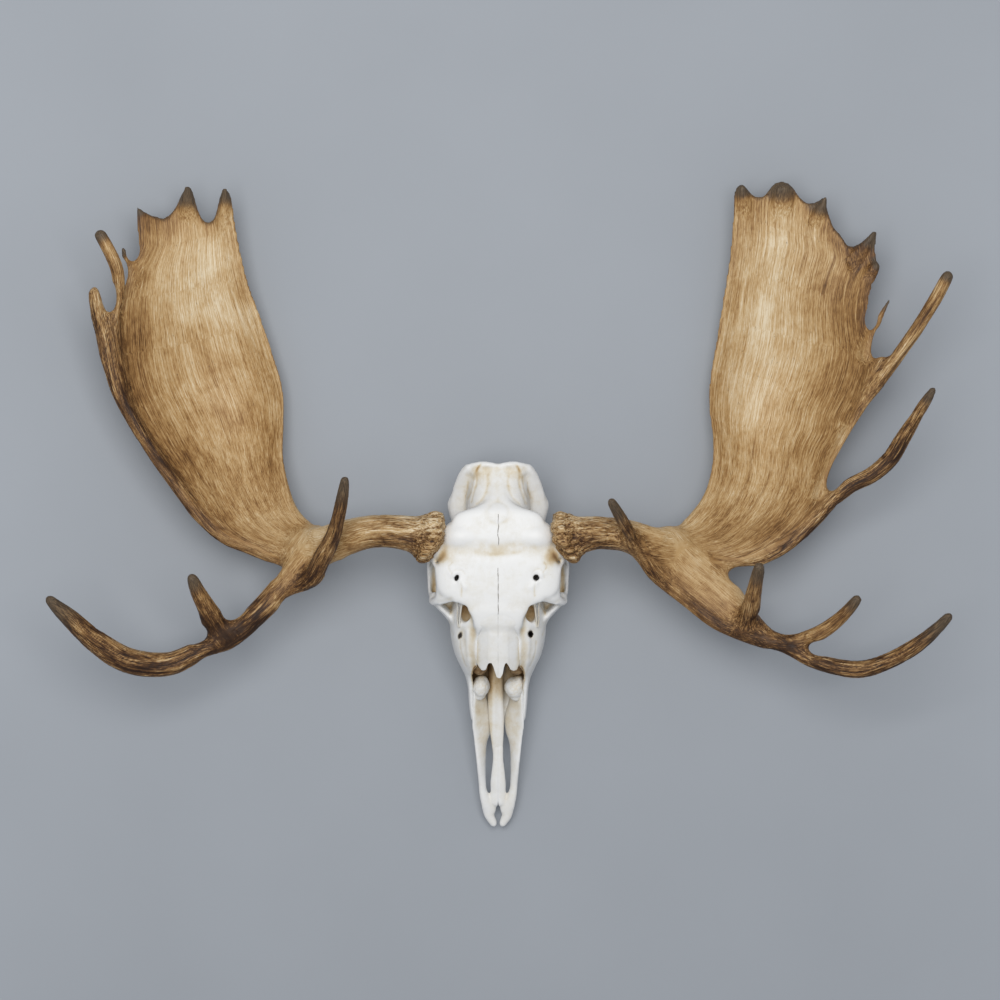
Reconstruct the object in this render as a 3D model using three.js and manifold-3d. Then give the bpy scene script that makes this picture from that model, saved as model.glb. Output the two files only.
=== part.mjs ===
// A bull moose skull without its lower jaw, with both antlers still grown on it. It lies as it does on a
// table: on its cheek teeth and on the backs of the two palms.
// Millimetres. +Z is up, -Y is the way the nose points, +X is the animal's own left. The origin is on the
// surface that it lies on, under the middle of the whole.
import * as THREE from 'three';
import { mergeVertices } from 'three/addons/utils/BufferGeometryUtils.js';
import Module from 'manifold-3d';

const wasm = await Module();
wasm.setup();

// ---------------------------------------------------------------- driving dimensions

const GAP = 0.4; // space left between pieces that touch
const SIDE = { left: 1, right: -1 }; // the sign of x on each side of the animal

const PEDICLE = { y: -51, z: 168, end: 84, radius: 28 };
const ORBIT = { x: 92, y: -116, z: 112, radius: 31, depth: 58 };
const NASAL = { back: -168, front: -264, thick: 6 }; // y of both ends of the nasal bones, and their thickness
const TOOTH_TOP = 24; // height of the gum line above the worn faces of the teeth
const PALM_HALF_WIDTH = 100; // about half the way across each palm
const TRUNK_SIDES = 12;
const TINE_SIDES = 9;
const SMALL_SIDES = 6;
const CLEAN = 0.35; // slivers smaller than this are cleaned off a cut piece
const COARSE = 1.5; // and off the cranium before the bones beside it are cut out

// Cheek teeth from the front: the place of the middle of each crown, its length and its width.
const TEETH = [
  { name: 'premolar_2', x: 42, y: -243, long: 19, wide: 17, lobes: 1 },
  { name: 'premolar_3', x: 46, y: -222, long: 21, wide: 20, lobes: 1 },
  { name: 'premolar_4', x: 49, y: -200.5, long: 20, wide: 22, lobes: 1 },
  { name: 'molar_1', x: 51.5, y: -177, long: 25, wide: 25, lobes: 2 },
  { name: 'molar_2', x: 53, y: -150, long: 27, wide: 26, lobes: 2 },
  { name: 'molar_3', x: 53, y: -122.5, long: 26, wide: 24, lobes: 2 },
];

// Stations of the braincase and face, from back to front: the half-width, the heights of the roof, the
// widest line and the base, and how square the section is (1 is an ellipse).
const CRANIUM = [
  { y: 62, wide: 44, top: 150, mid: 112, base: 66, square: 0.8 },
  { y: 44, wide: 64, top: 159, mid: 104, base: 52, square: 0.8 },
  { y: 14, wide: 70, top: 171, mid: 104, base: 48, square: 0.8 },
  { y: -16, wide: 66, top: 187, mid: 118, base: 50, square: 0.75 },
  { y: -51, wide: 72, top: 190, mid: 140, base: 52, square: 0.7 },
  { y: -84, wide: 88, top: 188, mid: 144, base: 50, square: 0.7 },
  { y: -112, wide: 98, top: 189, mid: 138, base: 40, square: 0.75 },
  { y: -142, wide: 94, top: 185, mid: 122, base: TOOTH_TOP, square: 0.75 },
  { y: -170, wide: 82, top: 176, mid: 98, base: TOOTH_TOP, square: 0.75 },
  { y: -206, wide: 72, top: 164, mid: 88, base: TOOTH_TOP, square: 0.75 },
  { y: -240, wide: 63, top: 152, mid: 80, base: TOOTH_TOP, square: 0.75 },
  { y: -262, wide: 57, top: 132, mid: 74, base: TOOTH_TOP, square: 0.75 },
  { y: -292, wide: 47, top: 92, mid: 60, base: 28, square: 0.75 },
  { y: -336, wide: 40, top: 74, mid: 50, base: 28, square: 0.75 },
];

// A branch is a list of stations: x, y, z of its middle, half its width across and half its depth.
// x is measured outwards from the animal's midline. The first station lies inside what it grows from.
const RIGHT = {
  beam: [
    [84, -51, 168, 30, 30], [89, -51, 168, 42, 42], [98, -51, 168, 43, 43], [108, -50, 168, 35, 35],
    [124, -48, 168, 29, 29], [159, -43, 166, 26, 27], [198, -43, 158, 26, 26], [237, -53, 146, 28, 24],
    [274, -66, 130, 34, 21], [303, -66, 114, 36, 17],
  ],
  inner: [
    [258, -34, 116], [292, -30, 96], [316, -7, 78], [331, 30, 64], [341, 77, 54], [340, 133, 47],
    [342, 184, 44], [357, 237, 44], [378, 300, 48], [395, 347, 54], [409, 402, 62], [416, 440, 68],
  ],
  outer: [
    [339, -94, 102], [379, -75, 98], [408, -66, 100], [448, -42, 104], [478, -6, 107], [508, 34, 109],
    [545, 84, 111], [573, 127, 113], [594, 172, 115], [602, 212, 117], [602, 250, 118], [597, 295, 116],
    [589, 335, 110], [577, 370, 102], [564, 407, 94], [564, 440, 90],
  ],
  dip: { base: 8, middle: 73.7, top: 18 },
  thick: { base: 34, middle: 12, top: 11 },
  rim: [
    [330, -92, 104, 10, 9], [390, -72, 98, 10, 9], [433, -54, 102, 11, 10], [471, -16, 106, 12, 11],
    [507, 33, 110, 12, 11], [543, 83, 112, 12, 11], [571, 129, 114, 13, 11], [593, 176, 117, 14, 12],
    [605, 222, 120, 13, 11],
  ],
  snags: [
    [[556, 352, 92, 10, 6], [575, 382, 104, 7, 6], [582, 399, 112, 2.5, 2.5]],
    [[542, 415, 80, 16, 6], [552, 444, 86, 12, 5], [564, 465, 92, 2.5, 2.5]],
    [[493, 410, 60, 24, 6], [492, 452, 72, 19, 6], [491, 478, 82, 11, 6], [489, 500, 92, 4, 4]],
    [[437, 405, 62, 18, 6], [434, 446, 72, 17, 6], [431, 471, 82, 10, 6], [429, 496, 94, 5, 4]],
  ],
  palmTines: {
    rear: [
      [584, 150, 92, 8, 8], [592, 225, 108, 9, 8], [596, 279, 122, 9, 8], [591, 333, 136, 9, 8],
      [592, 366, 148, 9, 8], [603, 396, 158, 8, 7], [615, 420, 166, 5, 5],
    ],
    front: [
      [600, 196, 118, 12, 10], [607, 230, 122, 11, 10], [613, 263, 127, 11, 9], [618, 302, 134, 12, 9],
      [621, 333, 142, 8, 6],
    ],
  },
  browStem: [
    [290, -70, 120, 28, 18], [322, -116, 128, 21, 18], [367, -163, 135, 18, 17], [409, -200, 137, 20, 18],
    [440, -217, 139, 18, 17],
  ],
  browTines: {
    inner: [
      [338, -174, 124, 9, 8], [308, -147, 133, 15, 14], [288, -120, 144, 17, 16], [272, -87, 171, 15.5, 15],
      [255, -51, 206, 13, 13], [242, -15, 238, 10.5, 10.5], [233, 18, 266, 7.5, 7.5], [229, 40, 284, 3.5, 3.5],
    ],
    middle: [
      [424, -206, 138, 22, 16], [445, -172, 156, 18, 14], [460, -137, 183, 12, 11], [471, -106, 202, 3.5, 3.5],
    ],
    outer: [
      [425, -211, 138, 18, 16], [460, -227, 141, 16, 16], [509, -248, 148, 18, 16], [568, -243, 166, 20.5, 17],
      [617, -211, 188, 18.5, 15], [656, -172, 212, 13.5, 12], [684, -141, 234, 4, 4],
    ],
  },
};

const LEFT = {
  beam: [
    [84, -51, 168, 30, 30], [89, -51, 168, 41, 42], [98, -51, 168, 42, 42], [108, -50, 168, 34, 35],
    [124, -48, 168, 29, 29], [157, -45, 164, 26, 26], [197, -50, 154, 26, 25], [233, -62, 140, 30, 23],
    [266, -68, 124, 37, 20], [296, -66, 110, 38, 16],
  ],
  inner: [
    [237, -32, 116], [281, -32, 98], [309, -8, 80], [327, 19, 68], [339, 60, 58], [341, 101, 52],
    [335, 157, 47], [337, 200, 44], [347, 261, 44], [359, 337, 48], [368, 395, 54], [372, 457, 62],
    [375, 482, 67],
  ],
  outer: [
    [370, -94, 112], [416, -76, 108], [455, -50, 108], [488, -18, 110], [508, 12, 111], [517, 50, 111],
    [530, 82, 111], [546, 106, 111], [555, 133, 113], [570, 162, 115], [584, 201, 117], [588, 235, 116],
    [581, 264, 112], [578, 301, 106], [582, 334, 102], [581, 364, 98], [568, 396, 92], [550, 414, 88],
    [536, 431, 84], [522, 448, 80],
  ],
  dip: { base: 10, middle: 74.6, top: 18 },
  thick: { base: 32, middle: 12, top: 11 },
  rim: [
    [372, -95, 112, 9, 9], [424, -79, 108, 10, 10], [463, -54, 109, 11, 11], [494, -22, 112, 12, 11],
    [520, 5, 117, 12, 11],
  ],
  snags: [
    [[398, 440, 60, 18, 6], [392, 468, 68, 16, 6], [389, 486, 74, 11, 6], [383, 504, 84, 4, 4]],
    [[455, 420, 58, 34, 6], [452, 462, 66, 32, 6], [451, 488, 72, 20, 6], [449, 505, 80, 9, 5]],
    [[500, 428, 68, 21, 7], [507, 455, 75, 15, 6], [512, 471, 82, 7, 5], [514, 484, 90, 2.5, 2.5]],
    [[552, 372, 84, 20, 6], [570, 391, 90, 13, 6], [581, 408, 95, 7, 5], [590, 428, 102, 2.5, 2.5]],
    [[572, 362, 94, 12, 6], [598, 378, 100, 2.5, 2.5]],
    [[572, 232, 108, 13, 6], [584, 262, 114, 8, 6], [595, 288, 121, 5, 5], [611, 319, 130, 2.5, 2.5]],
  ],
  palmTines: {
    rear: [
      [540, 96, 110, 5, 5], [557, 126, 114, 8, 7], [577, 164, 118, 10, 8], [600, 199, 126, 10.5, 9],
      [625, 235, 136, 10.5, 9], [651, 274, 150, 10.5, 9], [675, 316, 166, 10.5, 9], [693, 356, 182, 8, 7],
    ],
    front: [
      [508, -8, 115, 12, 11], [549, 28, 124, 13, 12], [582, 45, 132, 13, 12], [609, 70, 142, 13.5, 12],
      [627, 102, 156, 12, 11], [646, 137, 172, 9.5, 9], [660, 162, 186, 7, 7], [669, 179, 196, 3.5, 3.5],
    ],
  },
  browStem: [
    [262, -74, 124, 40, 18], [291, -106, 121, 46, 16], [330, -138, 120, 44, 15], [366, -170, 125, 34, 15],
    [400, -195, 133, 25, 15], [436, -214, 142, 16, 14],
  ],
  browTines: {
    inner: [
      [262, -120, 128, 13, 12], [244, -110, 133, 15, 13], [223, -81, 148, 13, 12], [203, -49, 186, 9.5, 9.5],
      [185, -18, 226, 6.5, 6.5], [169, 6, 260, 3, 3],
    ],
    upright: [
      [386, -196, 134, 20, 12], [388, -172, 152, 16, 12], [392, -140, 186, 11, 10], [393, -114, 216, 8, 8],
      [394, -91, 240, 3, 3],
    ],
    middle: [
      [424, -206, 142, 12, 12], [470, -211, 152, 13, 12], [506, -193, 168, 11, 10], [533, -168, 186, 8.5, 8],
      [552, -142, 200, 3.5, 3.5],
    ],
    outer: [
      [424, -214, 143, 14, 13], [468, -234, 152, 13, 12], [513, -250, 160, 13, 13], [558, -255, 172, 14, 13],
      [602, -240, 186, 13, 12], [642, -215, 204, 11.5, 11], [670, -188, 222, 8, 8], [687, -167, 236, 3.5, 3.5],
    ],
  },
};

// ---------------------------------------------------------------- shapes

// A closed skin over rings of equal point count, with a fan over each end.
function skin(rings) {
  const count = rings[0].length;
  const points = rings.flat();
  const faces = [];
  for (let i = 0; i + 1 < rings.length; i += 1) {
    for (let j = 0; j < count; j += 1) {
      const next = (j + 1) % count;
      const [a, b] = [i * count + j, i * count + next];
      faces.push(a, b, b + count, a, b + count, a + count);
    }
  }
  for (const [ring, flip] of [[0, true], [rings.length - 1, false]]) {
    const middle = rings[ring].reduce((sum, p) => sum.add(p), new THREE.Vector3()).divideScalar(count);
    points.push(middle);
    for (let j = 0; j < count; j += 1) {
      const [a, b] = [ring * count + j, ring * count + ((j + 1) % count)];
      faces.push(...(flip ? [b, a, points.length - 1] : [a, b, points.length - 1]));
    }
  }
  const made = new THREE.BufferGeometry().setFromPoints(points);
  made.setIndex(faces);
  return made;
}

// A closed mesh as a solid, turned the right way out.
function solid(geometry) {
  const bare = new THREE.BufferGeometry().setAttribute('position', geometry.getAttribute('position'));
  bare.setIndex(geometry.getIndex());
  const merged = mergeVertices(bare, 1e-3);
  const triVerts = new Uint32Array(merged.getIndex().array);
  const positions = merged.getAttribute('position').array;
  const make = () => new wasm.Manifold(new wasm.Mesh({ numProp: 3, vertProperties: positions, triVerts }));
  const made = make();
  if (made.volume() > 0) return made;
  for (let i = 0; i < triVerts.length; i += 3) {
    [triVerts[i + 1], triVerts[i + 2]] = [triVerts[i + 2], triVerts[i + 1]];
  }
  return make();
}

const join = (solids) => solids.reduce((all, next) => all.add(next));
const cut = (body, tools) => tools.reduce((left, tool) => left.subtract(tool), body);

// A smooth curve through the stations' middles, with their widths and depths eased along it.
function alongStations(stations, side, steps) {
  const middles = new THREE.CatmullRomCurve3(
    stations.map(([x, y, z]) => new THREE.Vector3(side * x, y, z)), false, 'centripetal');
  const sizes = new THREE.CatmullRomCurve3(
    stations.map(([, , , wide, deep]) => new THREE.Vector3(wide, deep, 0)), false, 'centripetal');
  const spans = (stations.length - 1) * steps;
  return Array.from({ length: spans + 1 }, (_, i) => {
    const t = i / spans;
    const size = sizes.getPoint(t);
    return { middle: middles.getPoint(t), along: middles.getTangent(t), wide: size.x, deep: size.y };
  });
}

// A round or oval branch: an ellipse carried along the stations, its width kept level.
function branch(stations, side, { sides = TINE_SIDES, grow = 0 } = {}) {
  const steps = stations.length < 5 && sides > SMALL_SIDES ? 2 : 1;
  const up = new THREE.Vector3(0, 0, 1);
  const rings = alongStations(stations, side, steps).map(({ middle, along, wide, deep }) => {
    const across = along.clone().cross(up).normalize();
    const over = across.clone().cross(along).normalize();
    return Array.from({ length: sides }, (_, j) => {
      const angle = (2 * Math.PI * j) / sides;
      return middle.clone()
        .addScaledVector(across, (wide + grow) * Math.cos(angle))
        .addScaledVector(over, (deep + grow) * Math.sin(angle));
    });
  });
  return solid(skin(rings));
}

// Eases from one value at the base of a palm through a middle one to one at its top.
function eased({ base, middle, top }, t) {
  const half = t < 0.5 ? t * 2 : t * 2 - 1;
  const blend = half * half * (3 - 2 * half);
  return t < 0.5 ? base + (middle - base) * blend : middle + (top - middle) * blend;
}

// The dished plate of a palm: lens-shaped sections from its inner to its outer edge, sunk by dip in the
// middle.
function plate({ inner, outer, dip, thick }, side, { spans = 11, around = 12, grow = 0 } = {}) {
  const edge = (points) => new THREE.CatmullRomCurve3(
    points.map(([x, y, z]) => new THREE.Vector3(side * x, y, z)), false, 'centripetal');
  const [innerEdge, outerEdge] = [edge(inner), edge(outer)];
  const rings = Array.from({ length: spans + 1 }, (_, i) => {
    const t = i / spans;
    const [from, to] = [innerEdge.getPointAt(t), outerEdge.getPointAt(t)];
    const [sink, height] = [eased(dip, t), eased(thick, t) / 2 + grow];
    return Array.from({ length: around }, (_, j) => {
      const angle = (2 * Math.PI * j) / around;
      const across = (1 + grow / PALM_HALF_WIDTH) * Math.cos(angle);
      const rise = Math.sign(Math.sin(angle)) * Math.abs(Math.sin(angle)) ** 0.6;
      const point = from.clone().lerp(to, (across + 1) / 2);
      point.z += height * rise - sink * (1 - across * across);
      return point;
    });
  });
  return solid(skin(rings));
}

// A rounded ball stretched to three half-sizes, turned about x, y and z by whole degrees.
function ball([x, y, z], [a, b, c], [turnX, turnY, turnZ] = [0, 0, 0], detail = 8) {
  const made = new THREE.SphereGeometry(1, detail, Math.round(detail * 0.7)).scale(a, b, c);
  made.rotateX(THREE.MathUtils.degToRad(turnX));
  made.rotateY(THREE.MathUtils.degToRad(turnY));
  made.rotateZ(THREE.MathUtils.degToRad(turnZ));
  return solid(made.translate(x, y, z));
}

// A ring of points for a skull section: a squared ellipse with its own height above and below its widest
// line.
function skullRing({ y, wide, top, mid, base, square }, around = 16) {
  return Array.from({ length: around }, (_, j) => {
    const angle = (2 * Math.PI * j) / around;
    const [c, s] = [Math.cos(angle), Math.sin(angle)];
    const height = s > 0 ? top - mid : mid - base;
    return new THREE.Vector3(
      wide * Math.sign(c) * Math.abs(c) ** square, y, mid + height * Math.sign(s) * Math.abs(s) ** square);
  });
}

function material(name, color, roughness) {
  const made = new THREE.MeshStandardMaterial({ color, roughness, metalness: 0 });
  made.name = name;
  return made;
}

const BONE = material('bone', 0xe9e4d6, 0.55);
const INNER_BONE = material('inner_bone', 0xd9c7a0, 0.65);
const ENAMEL = material('enamel', 0xcbb98f, 0.4);
const ANTLER = material('antler', 0x9c7646, 0.6);

const whole = new THREE.Group();

function place(name, made, finish) {
  const [largest] = made.simplify(CLEAN).decompose().sort((a, b) => b.volume() - a.volume());
  const { vertProperties, triVerts } = largest.getMesh();
  const geometry = new THREE.BufferGeometry();
  geometry.setAttribute('position', new THREE.BufferAttribute(new Float32Array(vertProperties), 3));
  geometry.setIndex(new THREE.BufferAttribute(new Uint32Array(triVerts), 1));
  geometry.computeVertexNormals();
  const mesh = new THREE.Mesh(geometry, finish);
  mesh.name = name;
  whole.add(mesh);
}

// ---------------------------------------------------------------- skull

const bothSides = (make) => [make(SIDE.left), make(SIDE.right)];

// The bony stump that the antler grows from, ending at the seam under the burr.
const pedicle = (side) => branch([
  [40, PEDICLE.y, PEDICLE.z - 6, 34, 30], [62, PEDICLE.y, PEDICLE.z - 2, 30, 28],
  [PEDICLE.end - GAP, PEDICLE.y, PEDICLE.z, PEDICLE.radius, PEDICLE.radius],
], side, { sides: TINE_SIDES });

// The raised rim round the eye socket.
const orbitRim = (side) => ball([side * 84, ORBIT.y - 4, ORBIT.z], [24, 43, 42], [0, 0, side * 14], 9);

// The cheek arch, from under the eye socket back to the ear.
const cheekArch = (side) => branch([
  [82, -150, 84, 13, 9], [96, -110, 76, 8, 9], [96, -70, 82, 6, 9], [90, -30, 88, 6, 9],
  [78, 0, 90, 10, 9], [60, 14, 88, 14, 10],
], side, { sides: SMALL_SIDES });

const condyle = (side) => ball([side * 24, 49, 76], [15, 18, 20], [25, 0, side * -12], 7);
const earProcess = (side) => branch(
  [[46, 34, 92, 16, 13], [50, 36, 60, 10, 9], [46, 30, 32, 5, 6]], side, { sides: SMALL_SIDES });
const wing = (side) => branch(
  [[24, -62, 62, 5, 22], [22, -84, 48, 4, 24], [22, -104, 44, 4, 18]], side, { sides: SMALL_SIDES });

const orbitHollow = (side) => ball(
  [side * (ORBIT.x + 12), ORBIT.y, ORBIT.z], [ORBIT.depth, ORBIT.radius, ORBIT.radius], [0, 0, side * 14], 9);
const templeHollow = (side) => ball([side * 86, -36, 104], [24, 44, 40], [0, side * 8, 0]);
const lacrimalHollow = (side) => ball([side * 50, -166, 164], [12, 20, 13], [12, 0, side * 14], 8);
const browHole = (side) => ball([side * 62, -106, 190], [6, 6, 22], [0, 0, 0], 6);

// The roof of the mouth between the tooth rows.
const palateHollow = () => ball([0, -220, 14], [34, 150, 26], [0, 0, 0], 10);
const throatHollow = () => ball([0, -70, 58], [19, 60, 20], [-10, 0, 0]);

// The room of the brain, open at the back through the hole of the spine.
const spineHole = () => ball([0, 56, 84], [17, 50, 15]);
const brainRoom = () => ball([0, -2, 114], [44, 52, 38]);

// The nose cavity: open at the front and, ahead of the nasal bones, at the top.
const noseHollow = () => solid(skin([
  { y: -140, wide: 30, top: 150, mid: 108, base: 68 }, { y: -172, wide: 44, top: 153, mid: 96, base: 54 },
  { y: -206, wide: 50, top: 151, mid: 92, base: 46 }, { y: -240, wide: 48, top: 141, mid: 86, base: 43 },
  { y: -262, wide: 45, top: 140, mid: 80, base: 41 }, { y: -292, wide: 38, top: 140, mid: 70, base: 40 },
  { y: -345, wide: 31, top: 140, mid: 60, base: 38 },
].map((station) => skullRing({ ...station, square: 0.7 }, 12))));

// A nasal bone is half of an arched roof with a deep notch in its front end.
function nasalRoof(side, grow) {
  const stations = [
    { y: NASAL.back + grow, wide: 24, top: 178, drop: 6 }, { y: -200, wide: 31, top: 167, drop: 11 },
    { y: -236, wide: 34, top: 156, drop: 15 }, { y: NASAL.front - grow, wide: 33, top: 146, drop: 17 },
  ];
  const spans = 4;
  return solid(skin(stations.map(({ y, wide, top, drop }) => {
    const at = (share, lower) => new THREE.Vector3(
      side * (GAP / 2 - grow + (wide + grow) * share), y,
      top - drop * share * share + (lower ? -NASAL.thick - grow : grow));
    const shares = Array.from({ length: spans + 1 }, (_, i) => i / spans);
    return [...shares.map((s) => at(s, false)), ...shares.reverse().map((s) => at(s, true))];
  })));
}

function nasal(side) {
  const notch = ball([side * 14, NASAL.front - 3, 146], [6.5, 15, 30], [0, 0, 0], 8);
  return nasalRoof(side, 0).subtract(notch);
}

// The two-lobed or one-lobed crown of a cheek tooth, worn flat underneath.
function tooth({ x, y, long, wide, lobes }, side) {
  const outline = new THREE.Shape();
  const steps = 12;
  for (let i = 0; i < steps; i += 1) {
    const angle = (2 * Math.PI * i) / steps;
    const waist = lobes === 2 ? 1 - 0.13 * (Math.cos(2 * angle) > 0 ? Math.cos(2 * angle) : 0) : 1;
    const [c, s] = [Math.cos(angle), Math.sin(angle)];
    const across = (wide / 2) * waist * Math.sign(c) * Math.abs(c) ** 0.7;
    const along = ((long - GAP) / 2) * Math.sign(s) * Math.abs(s) ** 0.6;
    outline[i ? 'lineTo' : 'moveTo'](across, along);
  }
  outline.closePath();
  const crown = new THREE.ExtrudeGeometry(outline, { depth: TOOTH_TOP - GAP, bevelEnabled: false });
  return solid(crown.translate(side * x, y, 0));
}

// A premaxilla: the side bar of the muzzle, the blunt front and the slim process beside the vomer.
function premaxilla(side, grow = 0) {
  const bar = branch([
    [37, -300, 84, 3, 6], [36.5, -330, 72, 5, 11], [34, -366, 60, 6, 14], [30.5, -410, 50, 6.5, 15],
    [27, -450, 38, 7, 13], [22, -484, 26, 8.5, 10], [14, -504, 19, 8, 8], [8, -513, 16, 3.5, 5],
  ], side, { grow });
  const process = branch([
    [4.5, -372, 44, 3.5, 4], [5.5, -420, 38, 4.5, 4.5], [8.5, -455, 31, 6, 5], [10.5, -476, 26, 7, 6],
    [15, -492, 22, 8, 6],
  ], side, { sides: SMALL_SIDES, grow });
  const [wide, long, tall] = [100, 400, 200];
  const overMidline = new THREE.BoxGeometry(wide, long, tall).translate(side * (GAP / 2 - wide / 2), -430, 60);
  return bar.add(process).subtract(solid(overMidline));
}

// The long trough of thin bone down the middle of the nose.
const vomer = (grow = 0) => branch([
  [0, -160, 78, 7, 30], [0, -206, 66, 8, 24], [0, -250, 58, 9, 18], [0, -300, 54, 10, 15],
  [0, -336, 50, 9, 8], [0, -366, 47.5, 6, 4],
], 1, { grow });

const turbinate = (side, grow = 0) => branch([
  [33, -172, 98, 13, 18], [34, -206, 92, 17, 20], [31, -240, 83, 18, 18], [26, -272, 73, 14, 14],
  [24, -300, 62, 10, 8],
], side, { sides: SMALL_SIDES, grow });

const beam = (shape, side, grow = 0) => branch(shape.beam, side, { grow, sides: TRUNK_SIDES });

function cranium() {
  const roof = solid(skin(CRANIUM.map((station) => skullRing(station))));
  const crest = branch(
    [[-49, 52, 138, 9, 12], [-26, 60, 150, 9, 9], [0, 59, 149, 8, 8], [26, 60, 150, 9, 9], [49, 52, 138, 9, 12]],
    1, { sides: SMALL_SIDES });
  const added = [
    crest, ...bothSides(pedicle), ...bothSides(orbitRim), ...bothSides(cheekArch), ...bothSides(condyle),
    ...bothSides(earProcess), ...bothSides(wing),
  ];
  const hollows = [
    ...bothSides(orbitHollow), ...bothSides(templeHollow), ...bothSides(lacrimalHollow),
    ...bothSides(browHole), palateHollow(), throatHollow(), spineHole(), brainRoom(), noseHollow(),
  ];
  const neighbours = [
    vomer(GAP), ...bothSides((side) => nasalRoof(side, GAP)), ...bothSides((side) => premaxilla(side, GAP)),
    ...bothSides((side) => turbinate(side, GAP)), beam(RIGHT, SIDE.right, GAP), beam(LEFT, SIDE.left, GAP),
  ];
  return cut(cut(join([roof, ...added]), hollows).simplify(COARSE), neighbours);
}

// ---------------------------------------------------------------- antlers

// One antler, split at its main forks: the palm is whole, and each branch ends where it meets the piece
// that it grows from.
function antler(shape, side, name) {
  const palmAt = (grow) => join([
    plate(shape, side, { grow }),
    branch(shape.rim, side, { grow, sides: SMALL_SIDES }),
    ...shape.snags.map((snag) => branch(snag, side, { grow, sides: SMALL_SIDES })),
  ]);
  const stemAt = (grow) => branch(shape.browStem, side, { grow, sides: TRUNK_SIDES });
  const palmTool = palmAt(GAP);
  const beamTool = beam(shape, side, GAP);
  const stemTool = stemAt(GAP);

  place(`${name}_palm`, palmAt(0), ANTLER);
  place(`${name}_beam`, cut(beam(shape, side), [palmTool]), ANTLER);
  place(`${name}_brow_branch`, cut(stemAt(0), [palmTool, beamTool]), ANTLER);
  for (const [where, stations] of Object.entries(shape.palmTines)) {
    place(`${name}_palm_tine_${where}`, cut(branch(stations, side), [palmTool]), ANTLER);
  }
  let earlier = [palmTool, beamTool, stemTool];
  for (const [where, stations] of Object.entries(shape.browTines)) {
    place(`${name}_brow_tine_${where}`, cut(branch(stations, side), earlier), ANTLER);
    earlier = [...earlier, branch(stations, side, { grow: GAP })];
  }
}

// ---------------------------------------------------------------- the whole

place('cranium', cranium(), BONE);
place('vomer', vomer(), INNER_BONE);
for (const [word, side] of Object.entries(SIDE)) {
  place(`${word}_nasal`, nasal(side), BONE);
  place(`${word}_premaxilla`, premaxilla(side), BONE);
  place(`${word}_turbinate`, turbinate(side), INNER_BONE);
  for (const one of TEETH) place(`${word}_${one.name}`, tooth(one, side), ENAMEL);
}
antler(RIGHT, SIDE.right, 'right');
antler(LEFT, SIDE.left, 'left');

export default whole;
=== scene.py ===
"""A bull moose skull with both antlers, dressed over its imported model: a Blender add-on run as a script.

Sizes in the lists below are millimetres and turn into metres when a mesh is made. +Z is up, -Y is the way
the nose points and +X is the animal's own left. Both sides are written as if on the left, and the right one
is mirrored. A station on a branch is (x, y, z, half width, half depth), and its sixth number, where it has
one, turns it about the branch by degrees.
"""

import bpy
import numpy as np
from bpy.props import FloatProperty, FloatVectorProperty, IntProperty, PointerProperty
from bpy.types import Operator, Panel, PropertyGroup
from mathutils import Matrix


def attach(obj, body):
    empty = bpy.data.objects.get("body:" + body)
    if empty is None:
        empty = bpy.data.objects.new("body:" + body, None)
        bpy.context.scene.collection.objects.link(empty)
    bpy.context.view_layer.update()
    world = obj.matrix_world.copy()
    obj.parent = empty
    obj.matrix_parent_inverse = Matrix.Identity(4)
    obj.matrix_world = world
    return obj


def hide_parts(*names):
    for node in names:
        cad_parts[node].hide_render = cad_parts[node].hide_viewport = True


bl_info = {
    "name": "Moose skull with antlers",
    "version": (1, 0, 0),
    "blender": (4, 5, 0),
    "location": "3D View > Sidebar > Moose skull",
    "description": "Builds the bone, teeth and antlers of a bull moose skull",
    "category": "Add Mesh",
}

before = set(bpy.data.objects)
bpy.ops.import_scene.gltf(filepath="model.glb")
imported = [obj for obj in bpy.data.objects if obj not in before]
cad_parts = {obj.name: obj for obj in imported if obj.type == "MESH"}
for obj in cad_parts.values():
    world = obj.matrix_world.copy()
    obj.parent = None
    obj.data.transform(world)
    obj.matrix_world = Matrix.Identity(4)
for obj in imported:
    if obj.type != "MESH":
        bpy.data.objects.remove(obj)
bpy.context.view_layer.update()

BODY = "root"
MM = 0.001
UP = np.array([0.0, 0.0, 1.0])
SIDES = {"left": 1, "right": -1}
FLOOR_GAP = 0.05  # how near the floor a point may come

# ---------------------------------------------------------------- sizes of the antlers

# inner and outer are the edges of the palm as (x, y, z), and crown is the line (x, y) of its points. dip is
# how far the palm sags between its edges and thick is its thickness, each at its base, middle and top, which
# is reached at 1 / stretch of the palm's length. pale is the palest place of the palm: its shares across and
# up, its reach each way, and how much paler it is. tips are grey ends (x, y, reach), patches are (x, y, half
# width, half length, change of tone), pleats are (share across, rise), and gouges are (share up, share
# across, the same two at the other end, strength).

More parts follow.
